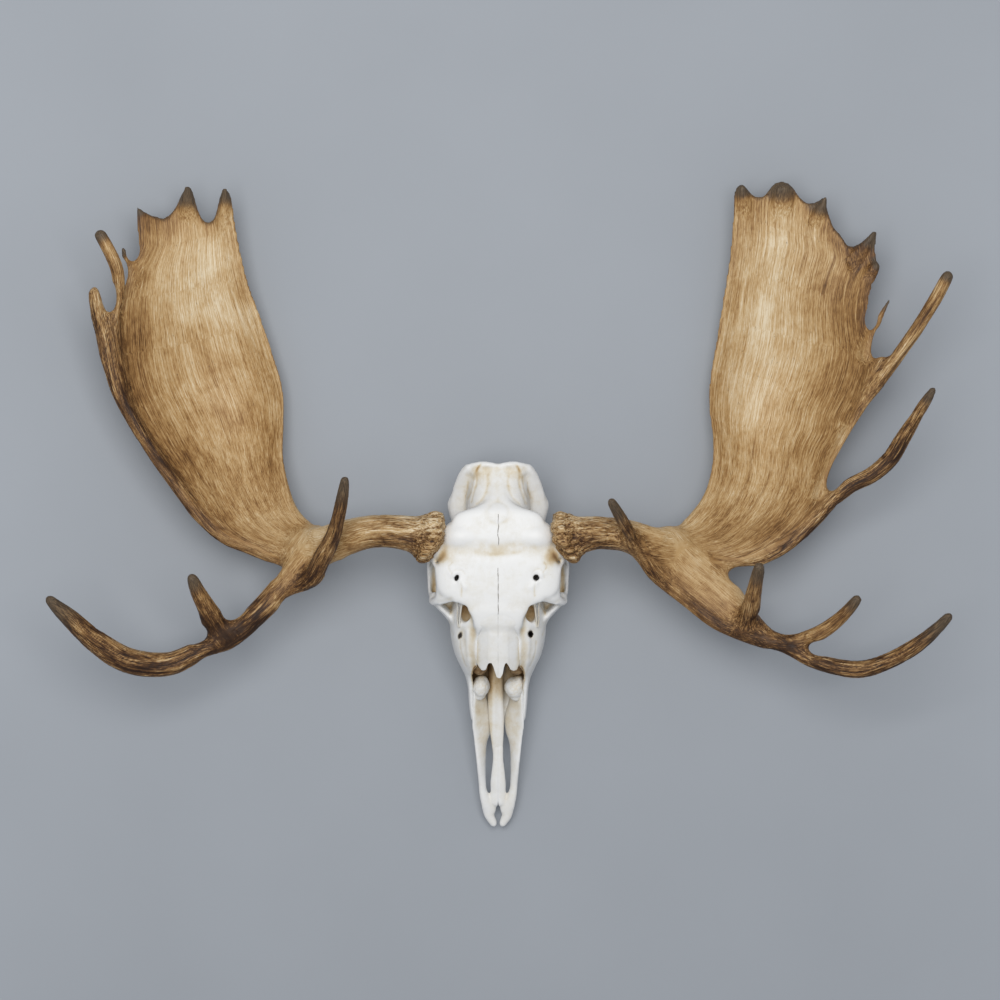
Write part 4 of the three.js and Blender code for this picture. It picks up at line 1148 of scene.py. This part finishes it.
def skull_relief(points, normals):
    """Rise and stain from the lines, sutures and patches on the upper side, and painted shade in and round
    the holes over and in front of the eyes.
    """
    upper = eased(normals[:, 2], 0.05, 0.45) * eased(points[:, 2], 88, 104)
    warp = cloudy(points / 26, 301, 2)
    along = points[:, 1] + 1.6 * cloudy(points / 24, 311, 2)
    plan = np.stack([np.abs(points[:, 0]) + 1.6 * warp, along], axis=1)
    rise = bone_grain(points)
    stain = np.zeros(len(points))
    crack = np.zeros(len(points))
    for width, height, brown, line in STROKES:
        distance = line_distance(plan, line)
        rise += height * bell(distance, width) * upper
        stain += brown * bell(distance / width, 1.5) * upper
    for name, side in SIDES.items():
        for x, y, a, b, turn, top in UPPER_HOLES[name]:
            dx, dy = side * points[:, 0] - x, points[:, 1] - y
            c, s = np.cos(np.radians(turn)), np.sin(np.radians(turn))
            away = np.hypot((dx * c + dy * s) / a, (dy * c - dx * s) / b)
            # Inside each hole the colour is near black painted shade, and a ring of painted shade lies round
            # its rim.
            below = np.maximum(eased(normals[:, 2], 0.80, 0.45), eased(points[:, 2], top - 3, top - 7))
            inner = np.maximum(eased(away, 1.25, 0.95) * below, eased(away, 1.02, 0.86))
            crack = np.maximum(crack, inner * (points[:, 2] > 85))
            stain += 0.20 * eased(away, 1.8, 1.0)
    for x, y, wide, long, strength in STAINS:
        patch = np.exp(-(((plan[:, 0] - x) / wide) ** 2) - ((plan[:, 1] - y) / long) ** 2)
        stain += strength * patch * (0.8 + 0.5 * warp)
    ring = np.hypot(points[:, 0], points[:, 1] + 14)
    rise += (1.4 * bell(ring, 15) - 0.6 * bell(ring - 17, 2.4)) * upper
    stain += 0.07 * bell(ring - 17, 4) * upper
    stain += 0.16 * np.clip(cloudy(points / 9, 345, 3) + 0.1, 0, 1) * eased(points[:, 1], -14, 14)
    return rise, stain, crack


def midline_seams(points, normals):
    """How far each point is aside of the wavy seams on the midline, in millimetres, and where a seam is."""
    x, y, z = points.T
    aside = x.copy()
    here = np.zeros(len(points))
    wave = lattice_noise(points * [0, 1, 0] / 6.5 + 0.3, 343)
    for start, end, wander in SEAMS:
        line = wander * wave + 0.4 * wander * eased(y, start, end)
        on = (y < start) & (y > end) & (normals[:, 2] > 0.3) & (z > 140)
        aside = np.where(on, x - line, aside)
        here = np.where(on, 1.0, here)
    return aside, here


def nose_shade(points):
    """Painted shade inside the nose: 1 inside the nose's room and on its walls, weaker towards its front, and
    0 elsewhere.
    """
    x, y, z = points.T
    room = np.array(NOSE_ROOM, float)
    wide, top, mid, base = (np.interp(-y, -room[:, 0], room[:, k]) for k in (1, 2, 3, 4))
    half = np.where(z > mid, top - mid, mid - base) + WALL
    within = np.abs(x / (wide + WALL)) ** ROOM_POWER + np.abs((z - mid) / half) ** ROOM_POWER
    return eased(within, 1.08, 0.96) * (0.20 + 0.80 * eased(y, -318, -268)) * eased(y, -130, -150)


def make_cranium(settings):
    voxel = settings.voxel / MM
    piece = fuse(mesh_object("cranium_bone", skull_shells()), voxel)
    carve(piece, fuse(mesh_object("skull_rooms", skull_cutters()), voxel * 0.85))
    fuse(piece, voxel)
    points, edges, normals = skin_of(piece, 6)
    rise, stain, crack = skull_relief(points, normals)
    points = push_out(piece, points, normals, rise * settings.relief)
    normals = get_normals(piece)
    y = points[:, 1]
    # Painted shade in the bone's hollows, halved towards the back of the braincase.
    hollow = hollow_map(points, edges, normals, BONE_HOLLOW) * (1 - 0.5 * eased(y, -40, -10))
    # Painted shade inside the nose goes in with the stains; the snout and the back of the braincase get their
    # own cream tone.
    stain = stain + nose_shade(points) * 0.58 + (0.05 * eased(y, -170, -300) + 0.08 * eased(y, -6, 30))
    seam, seam_here = midline_seams(points, normals)
    store(piece, stain=stain, hollow=hollow, crack=crack, seam=seam, seam_here=seam_here)
    finish_piece(piece, cleaned_bone, ["cranium"])


def make_lacrimal_bars():
    strands = [Strand(bar, side, 1.0, 16) for bar in LACRIMAL_BARS for side in SIDES.values()]
    bars = mesh_object("lacrimal_bars", [strand.skin() for strand in strands])
    store(bars, stain=np.full(len(bars.data.vertices), 0.16))
    finish_piece(bars, cleaned_bone, [])


def make_nasal(name, side):
    piece = mesh_object(f"{name}_nasal_bone", [nasal_skin(name, side)])
    points, _, normals = skin_of(piece)
    points = push_out(piece, points, normals, bone_grain(points))
    outer = eased(np.abs(points[:, 0]), 25, 33) * eased(points[:, 1], -190, -215)
    # Faces turned down are darkened: painted shade under the nasal bones.
    under = eased(normals[:, 2], 0.1, -0.3)
    store(piece, stain=0.22 * outer + 0.6 * under + 0.03)
    finish_piece(piece, cleaned_bone, [f"{name}_nasal"])


def make_premaxilla(name, side):
    shells = []
    for stations in (MUZZLE_BAR, MUZZLE_PROCESS):
        vertices, faces = Strand(stations, side, around=36).skin()
        seam = 1.3 * eased(vertices[:, 1], -468, -484) - 0.9
        vertices[:, 0] = side * np.maximum(side * vertices[:, 0], seam)
        shells.append((vertices, faces))
    piece = fuse(mesh_object(f"{name}_premaxilla_bone", shells), SMALL_VOXEL)
    points, edges, normals = skin_of(piece, 3)
    points = push_out(piece, points, normals, 0.3 * cloudy(points / 13, 361, 3))
    # Painted shade on the faces that turn in towards the midline, and painted shade in the hollows.
    trough = eased(normals[:, 0] * -side, 0.2, 0.9) * eased(points[:, 1], -430, -330)
    hollow = hollow_map(points, edges, normals, BONE_HOLLOW)
    store(piece, stain=0.10 + 0.20 * trough, hollow=0.6 * hollow)
    finish_piece(piece, cleaned_bone, [f"{name}_premaxilla"])


def make_vomer():
    piece = mesh_object("vomer_trough", [Strand(VOMER, 1, 2.0, 56).skin()])
    points, _, normals = skin_of(piece)
    trough = bell(points[:, 0], 4.5) * eased(normals[:, 2], 0.2, 0.7)
    points[:, 2] -= 1.8 * trough * eased(points[:, 1], -376, -350)
    points = push_out(piece, points, normals, 0.3 * cloudy(points / 12, 371, 3))
    # Painted shade: darker towards the back, deep under the nasal bones, and on both sides of the trough.
    back = eased(points[:, 1], -330, -272)
    low = eased(np.abs(points[:, 0]), 7, 11)
    store(piece, stain=0.10 + 0.45 * back + 0.16 * low)
    finish_piece(piece, cleaned_bone, ["vomer"])


def make_turbinate(name, side):
    lumps = [egg(middle, radii, (18, 0, 8), side) for middle, radii in SCROLLS[name]]
    shells = [*lumps, Strand(SCROLL_ROOT, side).skin()]
    piece = fuse(mesh_object(f"{name}_scroll_bone", shells), SMALL_VOXEL)
    points, _, normals = skin_of(piece, 4)
    lump = eased(points[:, 1], -266, -276)
    pits = crease(cloudy(points / 5.5, 381, 2), 0.35)
    push_out(piece, points, normals, 0.9 * cloudy(points / 9, 391, 3) - 0.4 * pits * lump)
    # Painted shade: the scroll's root, deep behind the lumps, is much darker, and its pits are darker.
    store(piece, stain=0.04 + 0.62 * (1 - lump) + 0.16 * pits)
    finish_piece(piece, cleaned_bone, [f"{name}_turbinate"])


def tooth_skin(x, y, long, wide, lobes, side):
    """A cheek tooth: its outline carried down from the jaw, then drawn in over the worn face.

    The outline is a squared oval, pinched between its lobes and ribbed on the cheek side. On the worn face
    the height follows the enamel: a rim at the edge and a folded ring round each lobe's pit.
    """
    angle = np.linspace(0, 2 * np.pi, 96, endpoint=False)[None]
    c, s = np.cos(angle), np.sin(angle)
    pinch = 1 - 0.16 * (lobes > 1) * np.clip(np.cos(2 * angle), 0, 1) ** 3
    ribs = 1 + 0.045 * np.cos(angle * (10 if lobes > 1 else 6)) * np.clip(c, 0, 1)
    across = wide / 2 * pinch * ribs * np.sign(c) * np.abs(c) ** 0.75
    along = (long / 2 - 0.2) * ribs * np.sign(s) * np.abs(s) ** 0.65
    height = np.concatenate([np.linspace(GUM_LINE + 6, 1.5, 26), np.zeros(30)])[:, None]
    draw = np.concatenate([np.linspace(0.93, 0.99, 26), 1 - np.linspace(0.0, 0.97, 30) ** 1.1])[:, None]
    px, py = across * draw, along * draw
    worn = height == 0
    pit = np.zeros_like(px)
    for k in range(lobes):
        centre = (k - (lobes - 1) / 2) * long / lobes
        reach = np.hypot(px / (wide * 0.30), (py - centre) / (long / lobes * 0.30))
        pit = np.maximum(pit, np.exp(-((reach / 0.62) ** 4)))
    rim = bell(draw - 0.93, 0.06)
    ring = bell(pit - 0.5, 0.32)
    drop = 1.6 - 1.5 * np.maximum(rim, 0.9 * ring) + 2.6 * pit**3
    z = np.where(worn, np.maximum(drop, FLOOR_GAP), height)
    return closed_skin(np.stack([side * (x + px), y + py, z + 0 * px], axis=-1))


def make_tooth(name, word, side, sizes):
    piece = mesh_object(f"{word}_{name}_crown", [tooth_skin(*sizes, side)])
    points, edges, normals = skin_of(piece)
    points = push_out(piece, points, normals, 0.18 * cloudy(points / 4, 401, 2))
    z = points[:, 2]
    hollow = hollow_map(points, edges, normals, 1.2, 8)
    store(piece, worn=eased(z, 2.2, 0.5), low=eased(z, 0.4, 3.0) * eased(z, 9, 4), hollow=hollow)
    finish_piece(piece, tooth_enamel, [f"{word}_{name}"])


# ---------------------------------------------------------------- materials


class Shader:
    """A material's node tree, with short calls for the nodes used here."""

    def __init__(self, name):
        self.material = bpy.data.materials.new(name)
        self.material.use_nodes = True
        self.tree = self.material.node_tree
        self.tree.nodes.clear()
        self.surface = self.tree.nodes.new("ShaderNodeBsdfPrincipled")
        output = self.tree.nodes.new("ShaderNodeOutputMaterial")
        self.tree.links.new(self.surface.outputs[0], output.inputs[0])

    def put(self, node, socket, value):
        """Links a socket where the value is one, and sets it where it is a number or colour."""
        target = node.inputs[socket]
        if isinstance(value, bpy.types.NodeSocket):
            self.tree.links.new(value, target)
        else:
            target.default_value = value

    def attribute(self, name, output="Fac"):
        node = self.tree.nodes.new("ShaderNodeAttribute")
        node.attribute_name = name
        return node.outputs[output]

    def place(self, coordinates, scale):
        node = self.tree.nodes.new("ShaderNodeMapping")
        self.put(node, "Vector", coordinates)
        node.inputs["Scale"].default_value = scale
        return node.outputs[0]

    def object_place(self):
        return self.tree.nodes.new("ShaderNodeTexCoord").outputs["Object"]

    def noise(self, coordinates, scale, detail=3.0, rough=0.5, warp=0.0):
        node = self.tree.nodes.new("ShaderNodeTexNoise")
        self.put(node, "Vector", coordinates)
        node.inputs["Scale"].default_value = scale
        node.inputs["Detail"].default_value = detail
        node.inputs["Roughness"].default_value = rough
        node.inputs["Distortion"].default_value = warp
        return node.outputs["Fac"]

    def ramp(self, value, *stops):
        node = self.tree.nodes.new("ShaderNodeValToRGB")
        self.put(node, 0, value)
        while len(node.color_ramp.elements) < len(stops):
            node.color_ramp.elements.new(0.5)
        for element, (place, colour) in zip(node.color_ramp.elements, stops):
            element.position = place
            element.color = (*colour, 1) if isinstance(colour, tuple) else (colour, colour, colour, 1)
        return node.outputs[0]

    def math(self, operation, a, b=0.0, clamp=False):
        node = self.tree.nodes.new("ShaderNodeMath")
        node.operation = operation
        node.use_clamp = clamp
        self.put(node, 0, a)
        self.put(node, 1, b)
        return node.outputs[0]

    def plus(self, a, b, clamp=False):
        return self.math("ADD", a, b, clamp)

    def times(self, a, b, clamp=False):
        return self.math("MULTIPLY", a, b, clamp)

    def above(self, value, start, gain):
        """How far the value is above start, times gain."""
        return self.times(self.math("SUBTRACT", value, start), gain)

    def mix(self, share, a, b, kind="MIX"):
        node = self.tree.nodes.new("ShaderNodeMix")
        node.data_type = "RGBA"
        node.blend_type = kind
        self.put(node, 0, share)
        for socket, value in ((6, a), (7, b)):
            self.put(node, socket, (*value, 1) if isinstance(value, tuple) else value)
        return node.outputs[2]

    def bump(self, height, distance, strength):
        node = self.tree.nodes.new("ShaderNodeBump")
        self.put(node, "Height", height)
        node.inputs["Distance"].default_value = distance
        node.inputs["Strength"].default_value = strength
        return node.outputs[0]

    def finish(self, colour, roughness, normal=None, **fixed):
        self.put(self.surface, "Base Color", colour)
        self.put(self.surface, "Roughness", roughness)
        if normal is not None:
            self.put(self.surface, "Normal", normal)
        for name, value in fixed.items():
            self.surface.inputs[name.replace("_", " ")].default_value = value
        return self.material


def antler_surface(s):
    """Antler: brown to cream by tone, with streaks along the grain, furrows darkened by painted shade and
    their own brown, and greyed ends.
    """
    grain = s.attribute("grain", "Vector")
    clear = s.attribute("clear")
    tone = s.attribute("tone")
    furrow = s.attribute("furrow")
    tip = s.attribute("tip")
    place = s.object_place()
    streaks = s.noise(s.place(grain, (0.80, 0.80, 0.015)), 1.0, 4.0, 0.66, 0.3)
    dashes = s.noise(s.place(grain, (0.90, 0.90, 0.11)), 1.0, 3.0, 0.6)
    nicks = s.noise(s.place(grain, (0.62, 0.62, 0.15)), 1.0, 2.0, 0.55)
    blotches = s.noise(place, 16.0, 5.0, 0.64, 0.6)
    specks = s.noise(place, 230.0, 2.0, 0.6)
    streak_share = s.above(streaks, 0.5, clear)
    dash_share = s.above(dashes, 0.5, clear)
    level = s.plus(tone, s.times(streak_share, 2.3))
    level = s.plus(level, s.times(dash_share, 1.3))
    level = s.plus(level, s.above(blotches, 0.5, 0.60))
    # Furrows darken the tone: painted shade in the grooves, along with their own brown.
    level = s.math("SUBTRACT", level, s.above(furrow, 0.2, 0.40))
    level = s.math("SUBTRACT", level, s.times(tip, 0.25), clamp=True)
    colour = s.ramp(
        level, (0.0, (0.050, 0.021, 0.006)), (0.20, (0.135, 0.061, 0.019)), (0.42, (0.315, 0.170, 0.058)),
        (0.62, (0.490, 0.315, 0.138)), (0.82, (0.625, 0.475, 0.280)), (1.0, (0.740, 0.630, 0.455)))
    spots = s.times(s.ramp(nicks, (0.64, 0.0), (0.74, 0.65)), s.ramp(specks, (0.40, 0.2), (0.60, 1.0)))
    colour = s.mix(spots, colour, (0.115, 0.060, 0.026))
    # Furrows darkened further towards brown: painted shade in the grooves, along with their own brown.
    dark = s.times(s.math("POWER", furrow, 1.4), 0.85)
    colour = s.mix(dark, colour, s.mix(1.0, colour, (0.24, 0.15, 0.10), "MULTIPLY"))
    ends = s.plus(tip, s.above(blotches, 0.5, 0.8), clamp=True)
    ends = s.times(ends, s.ramp(tip, (0.15, 0.0), (0.60, 1.0)), clamp=True)
    grey = s.ramp(streaks, (0.35, (0.040, 0.028, 0.018)), (0.65, (0.150, 0.112, 0.072)))
    colour = s.mix(s.times(ends, 0.88), colour, grey)
    rough = s.ramp(streaks, (0.2, 0.58), (0.8, 0.42))
    relief = s.plus(s.times(streak_share, 0.9), s.times(dash_share, 0.6))
    relief = s.plus(relief, s.times(specks, 0.16))
    return s.finish(colour, rough, s.bump(relief, 0.0012, 0.8), IOR=1.5, Specular_IOR_Level=0.3)


def cleaned_bone(s):
    """Cleaned bone: bright white, cream to brown by stains and painted shade, painted shade in hollows, near
    black painted shade in holes, fine pores.
    """
    place = s.object_place()
    stain = s.attribute("stain")
    hollow = s.attribute("hollow")
    crack = s.attribute("crack")
    clouds = s.noise(place, 26.0, 4.0, 0.6, 0.4)
    grain = s.noise(s.place(place, (1.0, 0.25, 1.0)), 420.0, 3.0, 0.6)
    pores = s.noise(place, 520.0, 2.0, 0.5)
    cloud_share = s.above(clouds, 0.42, 0.42)
    # The level rises towards brown with stains, painted shade and clouds, and with painted shade in hollows.
    level = s.plus(s.plus(stain, cloud_share), s.times(hollow, 0.55))
    mottle = s.noise(place, 95.0, 4.0, 0.66, 0.3)
    level = s.plus(level, s.above(mottle, 0.46, 0.34))
    level = s.plus(level, s.above(grain, 0.5, 0.10), clamp=True)
    colour = s.ramp(
        level, (0.0, (0.790, 0.790, 0.782)), (0.16, (0.750, 0.735, 0.695)), (0.34, (0.665, 0.600, 0.480)),
        (0.58, (0.500, 0.365, 0.200)), (0.80, (0.270, 0.160, 0.070)), (1.0, (0.110, 0.060, 0.028)))
    specks = s.times(s.ramp(pores, (0.70, 0.0), (0.76, 0.5)), s.ramp(clouds, (0.45, 0.0), (0.7, 1.0)))
    colour = s.mix(specks, colour, (0.20, 0.13, 0.07))
    # Near black painted shade inside the holes.
    colour = s.mix(s.times(crack, 0.99, clamp=True), colour, (0.022, 0.016, 0.012))
    aside = s.math("ABSOLUTE", s.attribute("seam"))
    line = s.times(s.ramp(aside, (0.35, 0.85), (0.95, 0.0)), s.ramp(mottle, (0.35, 0.30), (0.55, 1.0)))
    line = s.times(line, s.attribute("seam_here"))
    colour = s.mix(line, colour, (0.085, 0.062, 0.045))
    rough = s.ramp(s.plus(level, s.times(grain, 0.2)), (0.05, 0.42), (0.6, 0.66))
    relief = s.plus(s.times(grain, 0.5), s.times(pores, 0.5))
    return s.finish(colour, rough, s.bump(relief, 0.0004, 0.55), IOR=1.5, Specular_IOR_Level=0.4)


def tooth_enamel(s):
    """Cheek teeth: ivory enamel, brown where it folds in, partly its own stain and partly painted shade,
    dentine on the worn faces.
    """
    place = s.object_place()
    worn = s.attribute("worn")
    low = s.attribute("low")
    hollow = s.attribute("hollow")
    clouds = s.noise(place, 120.0, 4.0, 0.6, 0.4)
    lines = s.noise(s.place(place, (1.0, 1.0, 0.15)), 700.0, 2.0, 0.5)
    # Folds and hollows go brown: partly the tooth's own stain and partly painted shade.
    level = s.plus(s.times(hollow, 0.9), s.times(clouds, 0.55), clamp=True)
    wall = s.ramp(level, (0.15, (0.74, 0.68, 0.54)), (0.45, (0.56, 0.44, 0.27)), (0.8, (0.20, 0.12, 0.06)))
    face = s.ramp(low, (0.1, (0.76, 0.71, 0.60)), (0.6, (0.36, 0.23, 0.11)))
    colour = s.mix(worn, wall, face)
    rough = s.ramp(clouds, (0.3, 0.24), (0.7, 0.42))
    return s.finish(colour, rough, s.bump(lines, 0.0003, 0.6), IOR=1.6)


# ---------------------------------------------------------------- stage

FLOOR_SIZE = 12.0
SENSOR = 36.0  # width of the camera's sensor, in millimetres
VIEW_DISTANCE = 4.0  # from the camera to the top of the skull, in metres


def make_floor(colour):
    """A flat pale floor, slightly uneven in tone, just under the object."""
    bpy.ops.mesh.primitive_plane_add(size=FLOOR_SIZE, location=(0, 0, -0.0005))
    floor = bpy.context.object
    floor.name = "floor"
    s = Shader("floor_paint")
    clouds = s.noise(s.object_place(), 3.0, 4.0)
    shade = s.ramp(clouds, (0.35, tuple(c * 0.97 for c in colour)), (0.65, tuple(colour)))
    floor.data.materials.append(s.finish(shade, 0.8, Specular_IOR_Level=0.2))


def place_camera(height, view_width):
    """A camera that looks straight down from its height and sees view_width at the top of the skull."""
    data = bpy.data.cameras.new("camera")
    data.sensor_width = SENSOR
    data.lens = SENSOR * VIEW_DISTANCE / view_width
    camera = bpy.data.objects.new("camera", data)
    bpy.context.collection.objects.link(camera)
    camera.location = (0.003, 0.006, height)
    bpy.context.scene.camera = camera


def light_room(power):
    """A soft main light above and behind, a weaker one on each side, and a bluish room."""
    soft_light("light_top", (-0.2, 0.7, 3.6), 2.6, power, (1.0, 0.985, 0.96))
    for name, x in (("light_left", -2.6), ("light_right", 2.6)):
        soft_light(name, (x, -0.1, 2.3), 1.4, power * 0.72, (0.97, 0.985, 1.0))
    world = bpy.data.worlds.new("room")
    world.use_nodes = True
    background = world.node_tree.nodes["Background"]
    background.inputs["Color"].default_value = (0.90, 0.94, 1.0, 1.0)
    background.inputs["Strength"].default_value = 0.40
    bpy.context.scene.world = world


def soft_light(name, place, size, power, colour):
    """A square area light that faces the middle of the floor under the object."""
    light = bpy.data.lights.new(name, "AREA")
    light.shape = "SQUARE"
    light.size = size
    light.energy = power
    light.color = colour
    lamp = bpy.data.objects.new(name, light)
    bpy.context.collection.objects.link(lamp)
    lamp.location = place
    aim = -np.array(place)
    lamp.rotation_euler = (
        float(np.arctan2(np.hypot(aim[0], aim[1]), -aim[2])), 0.0, float(np.arctan2(aim[0], -aim[1])))


# ---------------------------------------------------------------- add-on


class AntlerSettings(PropertyGroup):
    """Sizes and finish of the two antlers."""

    voxel: FloatProperty(
        name="Skin width", description="Width of the quads of the fused antlers", default=0.00265, min=0.001,
        unit="LENGTH", precision=5)
    relief: FloatProperty(
        name="Relief", description="How strongly the furrows stand out", default=1.0, min=0.0, max=2.0,
        subtype="FACTOR")
    fairing: IntProperty(
        name="Fairing", description="Rounds of smoothing where branches meet", default=110, min=0, max=200)


class SkullSettings(PropertyGroup):
    """Sizes and finish of the bones."""

    voxel: FloatProperty(
        name="Skin width", description="Width of the quads of the fused cranium", default=0.00219, min=0.001,
        unit="LENGTH", precision=5)
    relief: FloatProperty(
        name="Relief", description="How strongly ridges and sutures stand out", default=1.0, min=0.0, max=2.0,
        subtype="FACTOR")


class StageSettings(PropertyGroup):
    """Floor, lights and camera."""

    camera_height: FloatProperty(
        name="Camera height", description="Height of the camera above the floor", default=4.15, unit="LENGTH")
    view_width: FloatProperty(
        name="View width", description="Width seen at the top of the skull", default=1.55, unit="LENGTH")
    floor_colour: FloatVectorProperty(
        name="Floor colour", description="Colour of the pale floor", default=(0.36, 0.385, 0.42), size=3,
        subtype="COLOR", min=0.0, max=1.0)
    light_power: FloatProperty(
        name="Light", description="Power of the main light in watts", default=104.0, min=0.0)


class MOOSE_OT_antlers(Operator):
    """Both antlers, each one growth from burr to points"""

    bl_idname = "moose.antlers"
    bl_label = "Antlers"

    def execute(self, context):
        settings = context.scene.moose_antlers
        for name, shape, seed in (("right", RIGHT_ANTLER, 5), ("left", LEFT_ANTLER, 205)):
            growths = (f"{name}_palm", f"{name}_beam", f"{name}_brow")
            nodes = sorted(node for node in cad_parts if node.startswith(growths))
            make_antler(f"{name}_antler", shape, nodes, seed, settings)
        return {"FINISHED"}


class MOOSE_OT_cranium(Operator):
    """Braincase, eye sockets, cheek arches and upper jaw in one"""

    bl_idname = "moose.cranium"
    bl_label = "Cranium"

    def execute(self, context):
        make_cranium(context.scene.moose_skull)
        make_lacrimal_bars()
        return {"FINISHED"}


class MOOSE_OT_nose(Operator):
    """Nasal bones, premaxillae, vomer and scroll bones"""

    bl_idname = "moose.nose"
    bl_label = "Nose bones"

    def execute(self, context):
        make_vomer()
        for name, side in SIDES.items():
            make_nasal(name, side)
            make_premaxilla(name, side)
            make_turbinate(name, side)
        return {"FINISHED"}


class MOOSE_OT_teeth(Operator):
    """The twelve upper cheek teeth"""

    bl_idname = "moose.teeth"
    bl_label = "Cheek teeth"

    def execute(self, context):
        for word, side in SIDES.items():
            for name, *sizes in TEETH:
                make_tooth(name, word, side, sizes)
        return {"FINISHED"}


class MOOSE_OT_stage(Operator):
    """Pale floor, soft lights and the camera straight above"""

    bl_idname = "moose.stage"
    bl_label = "Stage"

    def execute(self, context):
        settings = context.scene.moose_stage
        make_floor(settings.floor_colour)
        place_camera(settings.camera_height, settings.view_width)
        light_room(settings.light_power)
        context.scene.view_settings.view_transform = "Standard"
        return {"FINISHED"}


class MOOSE_PT_panel(Panel):
    """Every piece of the skull"""

    bl_label = "Moose skull"
    bl_idname = "MOOSE_PT_panel"
    bl_space_type = "VIEW_3D"
    bl_region_type = "UI"
    bl_category = "Moose skull"

    def draw(self, context):
        layout = self.layout
        for operator in OPERATORS:
            layout.operator(operator.bl_idname)
        for settings in (context.scene.moose_skull, context.scene.moose_antlers, context.scene.moose_stage):
            for name in settings.__annotations__:
                layout.prop(settings, name)


OPERATORS = (MOOSE_OT_cranium, MOOSE_OT_nose, MOOSE_OT_teeth, MOOSE_OT_antlers, MOOSE_OT_stage)
CLASSES = (SkullSettings, AntlerSettings, StageSettings, *OPERATORS, MOOSE_PT_panel)


def register():
    for cls in CLASSES:
        bpy.utils.register_class(cls)
    bpy.types.Scene.moose_skull = PointerProperty(type=SkullSettings)
    bpy.types.Scene.moose_antlers = PointerProperty(type=AntlerSettings)
    bpy.types.Scene.moose_stage = PointerProperty(type=StageSettings)


def unregister():
    del bpy.types.Scene.moose_stage
    del bpy.types.Scene.moose_antlers
    del bpy.types.Scene.moose_skull
    for cls in reversed(CLASSES):
        bpy.utils.unregister_class(cls)


def main():
    register()
    for operator in OPERATORS:
        group, name = operator.bl_idname.split(".")
        getattr(getattr(bpy.ops, group), name)()


if __name__ == "__main__":
    main()
